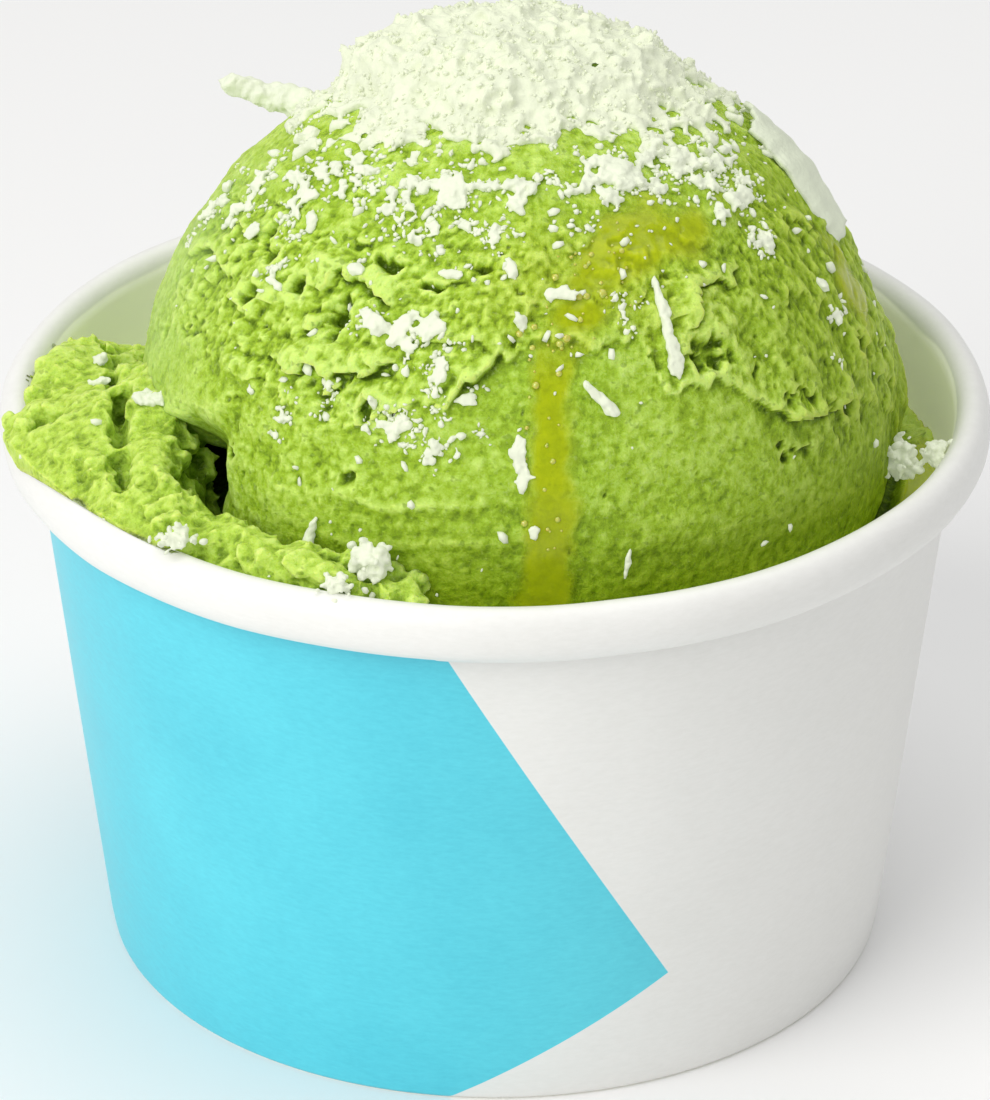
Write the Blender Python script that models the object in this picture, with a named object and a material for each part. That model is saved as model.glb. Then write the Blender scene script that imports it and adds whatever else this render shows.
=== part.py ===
"""A paper cup of pistachio gelato under grated topping, as Blender solids.

Seven pieces: the paper wall with its rolled rim and folded foot, the recessed paper base, the
scoop that fills the cup and domes over it, the ragged lump beside it, the heap of grated
topping on its crown, one large shaving and one stick.

Metres, +Z up. The origin is the middle of the foot's underside. -Y is the front. An azimuth is
counted from the front, positive towards +X. An elevation is counted from the scoop's equator.
"""

import math

import bmesh
import bpy
from mathutils import Matrix, Vector, noise

MM = 0.001

# Cup
RIM_RADIUS = 45.0 * MM
CUP_HEIGHT = 54.0 * MM
FOOT_RADIUS = 36.2 * MM
WALL_LEAN = math.radians(6.5)
PAPER = 0.5 * MM
BEAD_WIDTH = 3.4 * MM
BEAD_HEIGHT = 5.1 * MM
BEAD_END = math.radians(-118)
FOLD_HEIGHT = 6.2 * MM
FOLD_SPACING = 1.5 * MM
FOOT_CORNER = 0.35 * MM
BASE_TOP = 7.5 * MM
BASE_PAPER = 0.4 * MM
SKIRT_END = 1.2 * MM
BEAD_POINTS = 10
CUP_STEPS = 60

# Gap between pieces that touch
GAP = 0.3 * MM

# Scoop
SCOOP_CENTRE = Vector((2.1, -3.0, 52.5)) * MM
SCOOP_RADIUS = 33.9 * MM
SCOOP_STEPS = 56
BED_LEVEL = 45.0 * MM
BED_DIP = 0.8 * MM
FOOT_OF_DOME = math.radians(-12)
DOME_RINGS = 18

# Lump and the low ridge that runs on from it, along the trough beside the scoop
LUMP_FROM = math.radians(-112)
LUMP_TO = math.radians(-14)
LUMP_STEPS = 36
LUMP_RING = 18
LUMP_TOP = 58.4 * MM
LUMP_SLOPE = 1.2
RIDGE_TOP = 55.6 * MM
CREVICE = 1.8 * MM

# Heap of grated topping on the crown
HEAP_REACH = math.radians(36)
HEAP_DEPTH = 3.2 * MM
HEAP_LEAN_BACK = math.radians(12)
HEAP_STEPS = 32

# Large shaving, on the right flank of the crown
SHAVING_AZIMUTH = math.radians(95)
SHAVING_ELEVATION = math.radians(44)
SHAVING_LENGTH = 11.0 * MM
SHAVING_WIDTH = 6.0 * MM
SHAVING_THICKNESS = 0.9 * MM

# Stick, lying out over the left edge of the heap
STICK_ROOT = Vector((-18.6, 9.6, 79.4)) * MM
STICK_TIP = Vector((-26.0, 10.2, 80.4)) * MM
STICK_RADIUS = 1.05 * MM
STICK_SAG = 0.5 * MM


def remove_all_objects():
    for obj in list(bpy.data.objects):
        bpy.data.objects.remove(obj, do_unlink=True)


def make_material(name, colour, roughness):
    material = bpy.data.materials.new(name)
    material.use_nodes = True
    shader = material.node_tree.nodes["Principled BSDF"]
    shader.inputs["Base Color"].default_value = (*colour, 1.0)
    shader.inputs["Roughness"].default_value = roughness
    shader.inputs["Metallic"].default_value = 0.0
    return material


def add_object(name, bm, material):
    """Turns a bmesh into a smooth-shaded object whose faces point outwards."""
    bm.normal_update()
    bmesh.ops.recalc_face_normals(bm, faces=bm.faces)
    mesh = bpy.data.meshes.new(name)
    bm.to_mesh(mesh)
    bm.free()
    mesh.materials.append(material)
    mesh.shade_smooth()
    mesh.set_sharp_from_angle(angle=math.radians(40))
    obj = bpy.data.objects.new(name, mesh)
    bpy.context.scene.collection.objects.link(obj)
    return obj


def smoothstep(low, high, value):
    t = min(max((value - low) / (high - low), 0.0), 1.0)
    return t * t * (3 - 2 * t)


def bump(value, middle, reach):
    """1 at middle, falling smoothly to 0 at reach on either side."""
    return 1 - smoothstep(0.0, 1.0, abs(value - middle) / reach)


def spun(outline, steps, closed):
    """A solid of revolution about Z. The outline's points are (radius, height)."""
    bm = bmesh.new()
    verts = [bm.verts.new((0.0, -radius, height)) for radius, height in outline]
    pairs = list(zip(verts, verts[1:]))
    if closed:
        pairs.append((verts[-1], verts[0]))
    edges = [bm.edges.new(pair) for pair in pairs]
    bmesh.ops.spin(
        bm,
        geom=verts + edges,
        cent=(0, 0, 0),
        axis=(0, 0, 1),
        angle=2 * math.pi,
        steps=steps,
        use_merge=True,
    )
    bmesh.ops.remove_doubles(bm, verts=bm.verts, dist=0.01 * MM)
    return bm


# Cup -----------------------------------------------------------------------------------------


def wall_radius(height):
    """Radius of the wall's middle layer."""
    return FOOT_RADIUS - PAPER / 2 + height * math.tan(WALL_LEAN)


def inside_radius(height):
    """Radius of the wall's inner face."""
    return wall_radius(height) - PAPER / 2


def arc(centre, half_width, half_height, start, end, count):
    """Points on an ellipse, from one angle to another."""
    points = []
    for i in range(count + 1):
        angle = start + (end - start) * i / count
        points.append(
            (
                centre[0] + half_width * math.cos(angle),
                centre[1] + half_height * math.sin(angle),
            )
        )
    return points


def corner_offset(before, point, after, distance):
    """Moves a path's point sideways so that both neighbouring stretches shift by distance."""
    sides = []
    for start, end in ((before, point), (point, after)):
        if (end - start).length > 0:
            sides.append((end - start).orthogonal().normalized())
    first, last = sides[0], sides[-1]
    return point + (first + last) * distance / (1 + first.dot(last))


def sheet_outline(path, thickness):
    """The closed outline of a sheet whose middle follows a path of (radius, height) points."""
    points = [Vector(p) for p in path]
    left, right = [], []
    for i, point in enumerate(points):
        before = points[max(i - 1, 0)]
        after = points[min(i + 1, len(points) - 1)]
        left.append(tuple(corner_offset(before, point, after, thickness / 2)))
        right.append(tuple(corner_offset(before, point, after, -thickness / 2)))
    return left + right[::-1]


def wall_path():
    """Up the inner fold's height to the foot, round the foot, up the wall and round the rim."""
    middle = PAPER / 2
    inner = wall_radius(0) - FOLD_SPACING
    outer = wall_radius(0)
    fold_lean = FOLD_HEIGHT * math.tan(WALL_LEAN)
    corner = middle + FOOT_CORNER
    path = [(inner + fold_lean, FOLD_HEIGHT)]
    path += arc(
        (inner + FOOT_CORNER, corner), FOOT_CORNER, FOOT_CORNER, math.pi, 1.5 * math.pi, 1
    )
    path += arc(
        (outer - FOOT_CORNER, corner), FOOT_CORNER, FOOT_CORNER, -math.pi / 2, 0.0, 1
    )
    bead_centre = (
        RIM_RADIUS - BEAD_WIDTH / 2,
        CUP_HEIGHT - BEAD_HEIGHT / 2,
    )
    path += arc(
        bead_centre,
        BEAD_WIDTH / 2 - middle,
        BEAD_HEIGHT / 2 - middle,
        math.pi,
        BEAD_END,
        BEAD_POINTS,
    )
    return path


def make_cup_wall(material):
    outline = sheet_outline(wall_path(), PAPER)
    return add_object("cup_wall", spun(outline, CUP_STEPS, closed=True), material)


def make_cup_base(material):
    """A disc with its edge turned down, held between the wall and its inner fold."""
    middle = BASE_PAPER / 2
    level = BASE_TOP - middle
    corner = 0.6 * MM

    def skirt_radius(height):
        return wall_radius(height) - FOLD_SPACING / 2

    path = [(0.0, level)]
    path += arc(
        (skirt_radius(level) - corner, level - corner), corner, corner, math.pi / 2, 0.0, 2
    )
    path.append((skirt_radius(SKIRT_END), SKIRT_END))
    outline = sheet_outline(path, BASE_PAPER)
    return add_object("cup_base", spun(outline, CUP_STEPS, closed=False), material)


# Scoop ---------------------------------------------------------------------------------------


def scoop_radius(azimuth, elevation):
    """Distance of the scoop's surface from its centre in a direction."""
    degrees_round = math.degrees(azimuth)
    degrees_up = math.degrees(elevation)
    radius = SCOOP_RADIUS
    # Broad unevenness left by the spatula
    direction = Vector(
        (
            math.sin(azimuth) * math.cos(elevation),
            -math.cos(azimuth) * math.cos(elevation),
            math.sin(elevation),
        )
    )
    radius += 0.9 * MM * noise.noise(direction * 2.1 + Vector((3.7, 1.2, 8.1)))
    radius += 0.45 * MM * noise.noise(direction * 5.3 + Vector((9.1, 4.4, 2.6)))
    # The crown is a little flat under its topping
    radius -= 0.8 * MM * smoothstep(55, 90, degrees_up)
    # Hollow on the left, low down, that the lump was pulled out of
    hollow = bump(degrees_round, -78, 42) * (1 - smoothstep(2, 30, degrees_up))
    radius -= 6.4 * MM * hollow
    # The torn upper layer ends in a lip, above the scraped front
    lip = 14 + 7 * math.sin(math.radians(3.1 * degrees_round + 20))
    front = bump(degrees_round, 12, 75)
    radius += 0.7 * MM * front * smoothstep(lip - 5, lip + 3, degrees_up)
    radius -= 0.5 * MM * front * smoothstep(lip + 18, lip + 34, degrees_up)
    # Fold of gelato behind the right side
    radius += 2.2 * MM * bump(degrees_round, 104, 24) * bump(degrees_up, -2, 20)
    return radius


def scoop_point(azimuth, elevation, lift=0.0):
    """A point on the scoop, or above it by lift."""
    distance = scoop_radius(azimuth, elevation) + lift
    flat = distance * math.cos(elevation)
    return SCOOP_CENTRE + Vector(
        (
            flat * math.sin(azimuth),
            -flat * math.cos(azimuth),
            distance * math.sin(elevation),
        )
    )


def around(radius, azimuth, height):
    """A point round the cup's own axis."""
    return Vector((radius * math.sin(azimuth), -radius * math.cos(azimuth), height))


def scoop_station(azimuth, station):
    """The scoop's surface at one of its stations, which run from the cup's floor to the crown."""
    floor = BASE_TOP + GAP
    bed_edge = inside_radius(BED_LEVEL) - GAP
    if station == 0:
        return Vector((0.0, 0.0, floor))
    if station == 1:
        return around(inside_radius(floor) - GAP, azimuth, floor)
    if station == 2:
        return around(bed_edge, azimuth, BED_LEVEL)
    foot = scoop_point(azimuth, FOOT_OF_DOME)
    if station in (3, 4):
        edge = around(bed_edge, azimuth, BED_LEVEL)
        share = (station - 2) / 3
        level = BED_LEVEL - BED_DIP * math.sin(math.pi * share)
        point = edge.lerp(foot, share)
        wave = 0.5 * MM * noise.noise(point * 120)
        return Vector((point.x, point.y, level + wave))
    ring = station - 5
    top = math.radians(90)
    elevation = FOOT_OF_DOME + (top - FOOT_OF_DOME) * ring / DOME_RINGS
    # Every azimuth meets at the crown
    return scoop_point(azimuth if ring < DOME_RINGS else 0.0, elevation)


def make_scoop(material):
    """Spins a placeholder column of stations, then moves every vertex to its own place."""
    stations = 5 + DOME_RINGS + 1
    bm = bmesh.new()
    column = [bm.verts.new((0.0, -1.0, 0.01 * i)) for i in range(stations)]
    edges = [bm.edges.new(pair) for pair in zip(column, column[1:])]
    bmesh.ops.spin(
        bm,
        geom=column + edges,
        cent=(0, 0, 0),
        axis=(0, 0, 1),
        angle=2 * math.pi,
        steps=SCOOP_STEPS,
        use_merge=True,
    )
    for vert in bm.verts:
        azimuth = math.atan2(vert.co.x, -vert.co.y)
        station = round(vert.co.z / 0.01)
        vert.co = scoop_station(azimuth, station)
    bmesh.ops.remove_doubles(bm, verts=bm.verts, dist=0.02 * MM)
    return add_object("gelato_scoop", bm, material)


# Lump ----------------------------------------------------------------------------------------


def lump_top(azimuth):
    """Height of the lump's top: full beside the left of the scoop, a low ridge further on."""
    degrees_round = math.degrees(azimuth)
    tall = 1 - smoothstep(-70, -44, degrees_round)
    top = RIDGE_TOP + (LUMP_TOP - RIDGE_TOP) * tall
    top += 1.6 * MM * noise.noise(Vector((degrees_round * 0.11, 0.4, 4.0)))
    start = smoothstep(0.0, 0.12, (azimuth - LUMP_FROM) / (LUMP_TO - LUMP_FROM))
    end = 1 - smoothstep(0.86, 1.0, (azimuth - LUMP_FROM) / (LUMP_TO - LUMP_FROM))
    low = BED_LEVEL + 5 * MM
    return low + (top - low) * start * end


def lump_outer_radius(azimuth, height):
    """The wall's inner face, and above the rim a slope that starts over the bead."""
    inside = inside_radius(min(height, CUP_HEIGHT - BEAD_HEIGHT)) - 2 * GAP
    degrees_round = math.degrees(azimuth)
    over = smoothstep(-112, -100, degrees_round) * (1 - smoothstep(-62, -40, degrees_round))
    above_bead = smoothstep(CUP_HEIGHT, CUP_HEIGHT + 1.2 * MM, height)
    slope = RIM_RADIUS - 0.6 * MM - LUMP_SLOPE * (height - CUP_HEIGHT)
    return inside + (slope - inside) * over * above_bead


def lump_section(azimuth, share):
    """A point on the lump's outline in the upright plane at an azimuth. Share runs from 0 to 1
    round the outline: up the outer side, over the top, down the inner side and back under."""
    floor = BED_LEVEL + 3 * GAP
    top = lump_top(azimuth)
    height = floor + (top - floor) * 0.5 * (1 - math.cos(2 * math.pi * share))
    rise = (height - floor) / (top - floor)
    outer = lump_outer_radius(azimuth, height)
    inner = lump_inner_radius(azimuth, height)
    middle = (outer + inner) / 2
    half = (outer - inner) / 2
    # The sides round into the top and into the underside
    half *= min(1.0, 2.6 * math.sqrt(max(1 - rise, 0.0)))
    half *= min(1.0, 0.7 + 3.0 * math.sqrt(rise))
    sign = 1 if share < 0.5 else -1
    chunks = noise.noise(Vector((azimuth * 7.5, height * 190, sign * 3.0)))
    half -= 1.7 * MM * smoothstep(0.1, 0.5, rise) * max(chunks, -0.2)
    radius = middle + sign * max(half, 0.3 * MM)
    return radius, height


def lump_inner_radius(azimuth, height):
    """How near the cup's axis the lump comes: the scoop's flank, with a crevice between."""
    low, high = 10 * MM, RIM_RADIUS
    for _ in range(24):
        radius = (low + high) / 2
        from_centre = around(radius, azimuth, height) - SCOOP_CENTRE
        round_scoop = math.atan2(from_centre.x, -from_centre.y)
        up_scoop = math.atan2(from_centre.z, math.hypot(from_centre.x, from_centre.y))
        if from_centre.length < scoop_radius(round_scoop, up_scoop):
            low = radius
        else:
            high = radius
    return high + CREVICE


def make_lump(material):
    """Sweeps a ring along the trough beside the scoop, then closes its two ends."""
    bm = bmesh.new()
    reach = LUMP_TO - LUMP_FROM
    ring = []
    for i in range(LUMP_RING):
        angle = 2 * math.pi * i / LUMP_RING
        ring.append(bm.verts.new((0.0, -1.0 + 0.1 * math.cos(angle), 0.1 * math.sin(angle))))
    edges = [bm.edges.new((ring[i - 1], ring[i])) for i in range(LUMP_RING)]
    bmesh.ops.spin(
        bm,
        geom=ring + edges,
        cent=(0, 0, 0),
        axis=(0, 0, 1),
        angle=reach,
        steps=LUMP_STEPS,
    )
    open_edges = [e for e in bm.edges if len(e.link_faces) == 1]
    bmesh.ops.holes_fill(bm, edges=open_edges, sides=0)
    for vert in bm.verts:
        azimuth = math.atan2(vert.co.x, -vert.co.y) + LUMP_FROM
        across = math.hypot(vert.co.x, vert.co.y) - 1.0
        turn = math.atan2(vert.co.z, -across) / (2 * math.pi)
        radius, height = lump_section(azimuth, (turn + 0.25) % 1.0)
        vert.co = around(radius, azimuth, height)
    bmesh.ops.triangulate(bm, faces=[f for f in bm.faces if len(f.verts) > 4])
    return add_object("gelato_lump", bm, material)


# Toppings ------------------------------------------------------------------------------------


def heap_reach(azimuth):
    """The heap's ragged edge, as an angle from its middle."""
    uneven = noise.noise(Vector((math.sin(azimuth), math.cos(azimuth), 0.6)) * 1.9)
    beside_shaving = bump(math.degrees(azimuth), math.degrees(SHAVING_AZIMUTH), 45)
    return HEAP_REACH * (1.0 + 0.2 * uneven - 0.28 * beside_shaving)


def heap_point(azimuth, share, on_top):
    """A point on the heap: share is 0 at its middle and 1 at its edge."""
    away = heap_reach(azimuth) * share
    direction = Matrix.Rotation(-HEAP_LEAN_BACK, 3, "X") @ Vector(
        (
            math.sin(away) * math.sin(azimuth),
            -math.sin(away) * math.cos(azimuth),
            math.cos(away),
        )
    )
    round_scoop = math.atan2(direction.x, -direction.y)
    up_scoop = math.asin(min(max(direction.z, -1.0), 1.0))
    lift = 1.6 * GAP
    if on_top:
        body = HEAP_DEPTH * (1 - share**2.4)
        lumpy = 0.9 * MM * noise.noise(direction * 8.5) * (1 - share**4)
        lift += 0.35 * MM + body + lumpy
    return scoop_point(round_scoop, up_scoop, lift)


def make_heap(material):
    """The outline of the grated topping: a cap with an uneven top, close over the crown."""
    shares_up = [i / 8 for i in range(9)]
    shares_down = [1 - i / 6 for i in range(7)]
    stations = [(share, True) for share in shares_up] + [(share, False) for share in shares_down]
    bm = bmesh.new()
    column = [bm.verts.new((0.0, -1.0, 0.01 * i)) for i in range(len(stations))]
    edges = [bm.edges.new(pair) for pair in zip(column, column[1:])]
    bmesh.ops.spin(
        bm,
        geom=column + edges,
        cent=(0, 0, 0),
        axis=(0, 0, 1),
        angle=2 * math.pi,
        steps=HEAP_STEPS,
        use_merge=True,
    )
    for vert in bm.verts:
        azimuth = math.atan2(vert.co.x, -vert.co.y)
        share, on_top = stations[round(vert.co.z / 0.01)]
        vert.co = heap_point(azimuth, share, on_top)
    bmesh.ops.remove_doubles(bm, verts=bm.verts, dist=0.02 * MM)
    return add_object("grated_heap", bm, material)


def make_shaving(material):
    """A curled slice lying on the scoop, bent to its surface."""
    bm = bmesh.new()
    bmesh.ops.create_grid(bm, x_segments=10, y_segments=6, size=0.5)
    bmesh.ops.solidify(bm, geom=bm.faces, thickness=0.2)
    heights = [vert.co.z for vert in bm.verts]
    level = (min(heights) + max(heights)) / 2
    for vert in bm.verts:
        along, across = vert.co.x * 2, vert.co.y * 2
        on_top = vert.co.z > level
        # Narrower ends and a wavy outline
        taper = 1 - 0.45 * along**2
        forward = along * SHAVING_LENGTH / 2
        sideways = across * taper * SHAVING_WIDTH / 2 * (1 + 0.15 * math.sin(5 * along))
        azimuth = SHAVING_AZIMUTH + sideways / (SCOOP_RADIUS * math.cos(SHAVING_ELEVATION))
        elevation = SHAVING_ELEVATION - forward / SCOOP_RADIUS
        curl = 0.35 * MM * (1 + across) ** 2
        lift = 2 * GAP + curl
        if on_top:
            lift += SHAVING_THICKNESS * (1 - 0.35 * max(abs(along), abs(across)) ** 2)
        vert.co = scoop_point(azimuth, elevation, lift)
    return add_object("large_shaving", bm, material)


def make_stick(material):
    """A blunt stick, a little bent and thinner towards its tip."""
    rings = 7
    outline = [(0.0, 0.0)] + [(1.0, i / rings) for i in range(rings + 1)] + [(0.0, 1.0)]
    bm = spun(outline, 8, closed=False)
    reach = STICK_TIP - STICK_ROOT
    side = reach.cross(Vector((0, 0, 1))).normalized()
    above = side.cross(reach).normalized()
    for vert in bm.verts:
        share = vert.co.z
        thick = STICK_RADIUS * (1 - 0.25 * share) * (1 + 0.12 * math.sin(9 * share))
        sag = STICK_SAG * math.sin(math.pi * share)
        flat = side * vert.co.x * thick + above * (vert.co.y * thick * 0.8 - sag)
        vert.co = STICK_ROOT + reach * share + flat
    return add_object("topping_stick", bm, material)


def main():
    remove_all_objects()
    paper = make_material("paper", (0.86, 0.87, 0.84), 0.55)
    paper_base = make_material("base_paper", (0.86, 0.87, 0.84), 0.6)
    gelato = make_material("gelato", (0.36, 0.52, 0.10), 0.5)
    lump = make_material("lump_gelato", (0.42, 0.58, 0.12), 0.55)
    topping = make_material("topping", (0.88, 0.90, 0.78), 0.6)
    shaving = make_material("shaving", (0.82, 0.86, 0.74), 0.45)
    stick = make_material("stick", (0.88, 0.90, 0.78), 0.6)
    make_cup_wall(paper)
    make_cup_base(paper_base)
    make_scoop(gelato)
    make_lump(lump)
    make_heap(topping)
    make_shaving(shaving)
    make_stick(stick)


main()
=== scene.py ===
# %% [markdown]
# # A paper cup of pistachio gelato
#
# The cup is a rolled sheet of coated paper. The gelato in it was pressed in and domed up with a
# flat spatula, so some of its surface is smooth and some is torn. Finely grated white topping
# lies heaped on the crown and scattered down the front, and a thin run of oil goes through it.
#
# Lengths are in metres unless a name or a comment says millimetres. +Z is up and -Y is the
# front. An azimuth is counted from the front, positive to the right. An elevation is counted
# up from the scoop's equator.

# %% Load the frame
import math

import bmesh
import bpy
import numpy as np
from mathutils import Matrix, Vector
from mathutils.bvhtree import BVHTree


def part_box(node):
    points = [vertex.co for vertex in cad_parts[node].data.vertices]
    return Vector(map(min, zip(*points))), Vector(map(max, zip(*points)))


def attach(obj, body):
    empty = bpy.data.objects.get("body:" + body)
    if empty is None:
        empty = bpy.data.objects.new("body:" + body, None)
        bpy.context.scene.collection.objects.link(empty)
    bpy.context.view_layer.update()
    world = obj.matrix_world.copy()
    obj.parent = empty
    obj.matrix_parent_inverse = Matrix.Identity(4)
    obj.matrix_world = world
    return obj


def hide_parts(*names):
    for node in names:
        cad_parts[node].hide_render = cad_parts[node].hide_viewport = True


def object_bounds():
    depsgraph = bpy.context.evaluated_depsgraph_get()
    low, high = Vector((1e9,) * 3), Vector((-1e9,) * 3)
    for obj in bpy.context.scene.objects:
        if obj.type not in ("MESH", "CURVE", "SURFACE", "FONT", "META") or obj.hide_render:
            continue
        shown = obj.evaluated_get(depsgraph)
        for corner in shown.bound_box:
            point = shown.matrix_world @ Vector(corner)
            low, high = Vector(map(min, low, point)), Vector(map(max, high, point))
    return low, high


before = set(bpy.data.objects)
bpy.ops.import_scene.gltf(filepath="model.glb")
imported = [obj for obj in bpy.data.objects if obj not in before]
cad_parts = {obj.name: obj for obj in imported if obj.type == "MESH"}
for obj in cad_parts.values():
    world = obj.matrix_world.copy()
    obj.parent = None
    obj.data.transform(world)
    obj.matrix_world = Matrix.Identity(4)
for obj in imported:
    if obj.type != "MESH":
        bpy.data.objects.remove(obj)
cad_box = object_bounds()
MM = 0.001
dice = np.random.default_rng(11)
rim_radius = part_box("cup_wall")[1].x / MM
cup_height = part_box("cup_wall")[1].z / MM
print(f"rim radius {rim_radius:.1f} mm, cup height {cup_height:.1f} mm")

# %% [markdown]
# ## Camera, light and floor
#
# A long lens from a little above shows the trough round the scoop and most of the cup's side.
# The light is a large soft one from the upper left, as from a window, with the pale room
# filling the shadows. The plain "Standard" view keeps the strong greens and blues clean.


# %% Camera
def aim(thing, place, target):
    """Puts a camera or light at a place and turns it to look at a target."""
    thing.location = place
    thing.rotation_euler = (Vector(target) - Vector(place)).to_track_quat("-Z", "Y").to_euler()


camera_elevation = math.radians(27.75)
camera_distance = 0.5575
look_at = Vector((0.0, 0.0, 0.03676))
camera = bpy.data.objects.new("camera", bpy.data.cameras.new("camera"))
camera.data.lens = 197.9
camera.data.sensor_width = 36.0
camera.data.clip_start = 0.01
away = Vector((0.0, -math.cos(camera_elevation), math.sin(camera_elevation)))
aim(camera, look_at + away * camera_distance, look_at)
bpy.context.scene.collection.objects.link(camera)
bpy.context.scene.camera = camera
bpy.context.scene.view_settings.view_transform = "Standard"


# %% Lights
def add_area_light(name, place, size, watts, colour):
    lamp = bpy.data.lights.new(name, "AREA")
    lamp.shape = "DISK"
    lamp.size = size
    lamp.energy = watts
    lamp.color = colour
    light = bpy.data.objects.new(name, lamp)
    aim(light, place, (0.0, 0.0, 0.05))
    bpy.context.scene.collection.objects.link(light)
    return light


add_area_light("window", (-0.52, -0.55, 0.62), 0.8, 5.8, (1.0, 0.985, 0.96))
add_area_light("skylight", (0.12, 0.10, 0.95), 0.9, 3.0, (1.0, 1.0, 0.985))
room = bpy.data.worlds.new("room")
room.use_nodes = True
room.node_tree.nodes["Background"].inputs["Color"].default_value = (1.0, 1.0, 1.0, 1.0)
room.node_tree.nodes["Background"].inputs["Strength"].default_value = 0.50
bpy.context.scene.world = room

# %% [markdown]
# ## Working with node materials
#
# Each material is a Principled shader fed by small networks of noise. These helpers keep the
# networks short to write: one makes a node and wires its inputs in one call, and one makes a
# node group with named sockets, so that the same grain can be used on several finishes.


# %% Node helpers
def add_node(tree, kind, inputs=None, **settings):
    """Adds a node, sets its properties, and fills its inputs with values or other sockets."""
    node = tree.nodes.new(kind)
    for key, value in settings.items():
        setattr(node, key, value)
    for key, value in (inputs or {}).items():
        if isinstance(value, bpy.types.NodeSocket):
            tree.links.new(value, node.inputs[key])
        else:
            node.inputs[key].default_value = value
    return node


def new_group(name, inputs, outputs):
    """A shader node group with named sockets, returned with its input and output nodes."""
    tree = bpy.data.node_groups.new(name, "ShaderNodeTree")
    for socket, kind, value in inputs:
        made = tree.interface.new_socket(socket, in_out="INPUT", socket_type=kind)
        if value is not None:
            made.default_value = value
    for socket, kind in outputs:
        tree.interface.new_socket(socket, in_out="OUTPUT", socket_type=kind)
    return tree, tree.nodes.new("NodeGroupInput"), tree.nodes.new("NodeGroupOutput")


def new_material(name, **settings):
    """A Principled material, with values for the shader's own sockets."""
    material = bpy.data.materials.new(name)
    material.use_nodes = True
    shader = material.node_tree.nodes["Principled BSDF"]
    for key, value in settings.items():
        shader.inputs[key.replace("_", " ")].default_value = value
    return material, material.node_tree, shader


def number_map(tree, value, low, high, to_low=0.0, to_high=1.0):
    """Stretches a value from one range to another, clamped."""
    node = add_node(
        tree,
        "ShaderNodeMapRange",
        {"Value": value, "From Min": low, "From Max": high, "To Min": to_low, "To Max": to_high},
    )
    return node.outputs["Result"]


def calculate(tree, operation, *values):
    node = tree.nodes.new("ShaderNodeMath")
    node.operation = operation
    for socket, value in zip(node.inputs, values):
        if isinstance(value, bpy.types.NodeSocket):
            tree.links.new(value, socket)
        else:
            socket.default_value = value
    return node.outputs[0]


def mix_colours(tree, share, first, second, blend="MIX"):
    node = tree.nodes.new("ShaderNodeMix")
    node.data_type = "RGBA"
    node.blend_type = blend
    for index, value in ((0, share), (6, first), (7, second)):
        if isinstance(value, bpy.types.NodeSocket):
            tree.links.new(value, node.inputs[index])
        else:
            node.inputs[index].default_value = value
    return node.outputs[2]


def read_attribute(tree, name):
    return add_node(tree, "ShaderNodeAttribute", attribute_name=name).outputs["Fac"]


def noise_value(tree, vector, scale, detail=2.0, roughness=0.5):
    """Noise between 0 and 1. The scale is in repeats per metre."""
    node = add_node(
        tree,
        "ShaderNodeTexNoise",
        {"Vector": vector, "Scale": scale, "Detail": detail, "Roughness": roughness},
    )
    return node.outputs["Fac"]


def stretched(tree, vector, scale):
    """Coordinates with a different scale along each axis."""
    node = add_node(tree, "ShaderNodeMapping", {"Vector": vector, "Scale": scale})
    return node.outputs["Vector"]


# %% [markdown]
# ## Mesh and noise helpers
#
# Round pieces start as an outline that is spun. Rough pieces start from a spun or fused form
# whose vertices are then moved by noise, which is how broken and scraped surfaces get their
# relief. A surface has tens of thousands of vertices, so the noise here works on all of them at
# once, as one array of points in millimetres. The relief is also stored on the mesh, so that
# hollows can be given painted shade and crests painted light.


# %% Easing curves
def smoothstep(low, high, value):
    """0 below low, 1 above high, and a smooth rise between."""
    t = np.clip((value - low) / (high - low), 0.0, 1.0)
    return t * t * (3 - 2 * t)


def bump(value, middle, reach):
    """1 at the middle, falling smoothly to 0 at reach on either side."""
    return 1 - smoothstep(0.0, 1.0, np.abs(value - middle) / reach)


# %% Noise on arrays of points
def lots(cells, seed):
    """Three random numbers between 0 and 1 for each whole-number cell, always the same."""
    x, y, z = cells.T
    numbers = []
    for turn in range(3):
        n = x * 374761393 + y * 668265263 + z * 1440662683 + (seed * 3 + turn) * 974634777
        n = (n ^ (n >> 13)) * 1274126177
        n = n ^ (n >> 16)
        numbers.append((n & 0xFFFFFF) / 0xFFFFFF)
    return np.stack(numbers, 1)


def wander(points, size, seed=0):
    """Smooth noise round 0, seldom past 1, whose bumps are about size across."""
    scaled = points / size + 0.37 * seed
    base = np.floor(scaled).astype(np.int64)
    part = scaled - base
    ease = part**3 * (part * (6 * part - 15) + 10)
    total = np.zeros(len(points))
    for corner in np.ndindex(2, 2, 2):
        slope = 2 * lots(base + corner, seed) - 1
        share = np.where(corner, ease, 1 - ease).prod(1)
        total += share * ((part - corner) * slope).sum(1)
    return 1.9 * total


def lobes(points, size, seed=0):
    """Rounded swellings with creases between them."""
    return np.abs(wander(points, size, seed)) * 2 - 0.65


def seeds_near(points, size, seed=0):
    """Distance to the nearest of scattered seeds, one to a cell, and that seed's own number."""
    scaled = points / size
    base = np.floor(scaled).astype(np.int64)
    nearest, lot = np.full(len(points), 9.0), np.zeros(len(points))
    for step in np.ndindex(3, 3, 3):
        cell = base + step - 1
        place = lots(cell, seed)
        gap = np.linalg.norm(cell + place - scaled, axis=1)
        closer = gap < nearest
        nearest = np.where(closer, gap, nearest)
        lot = np.where(closer, (place[:, 0] * 7.3) % 1.0, lot)
    return nearest * size, lot


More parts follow.
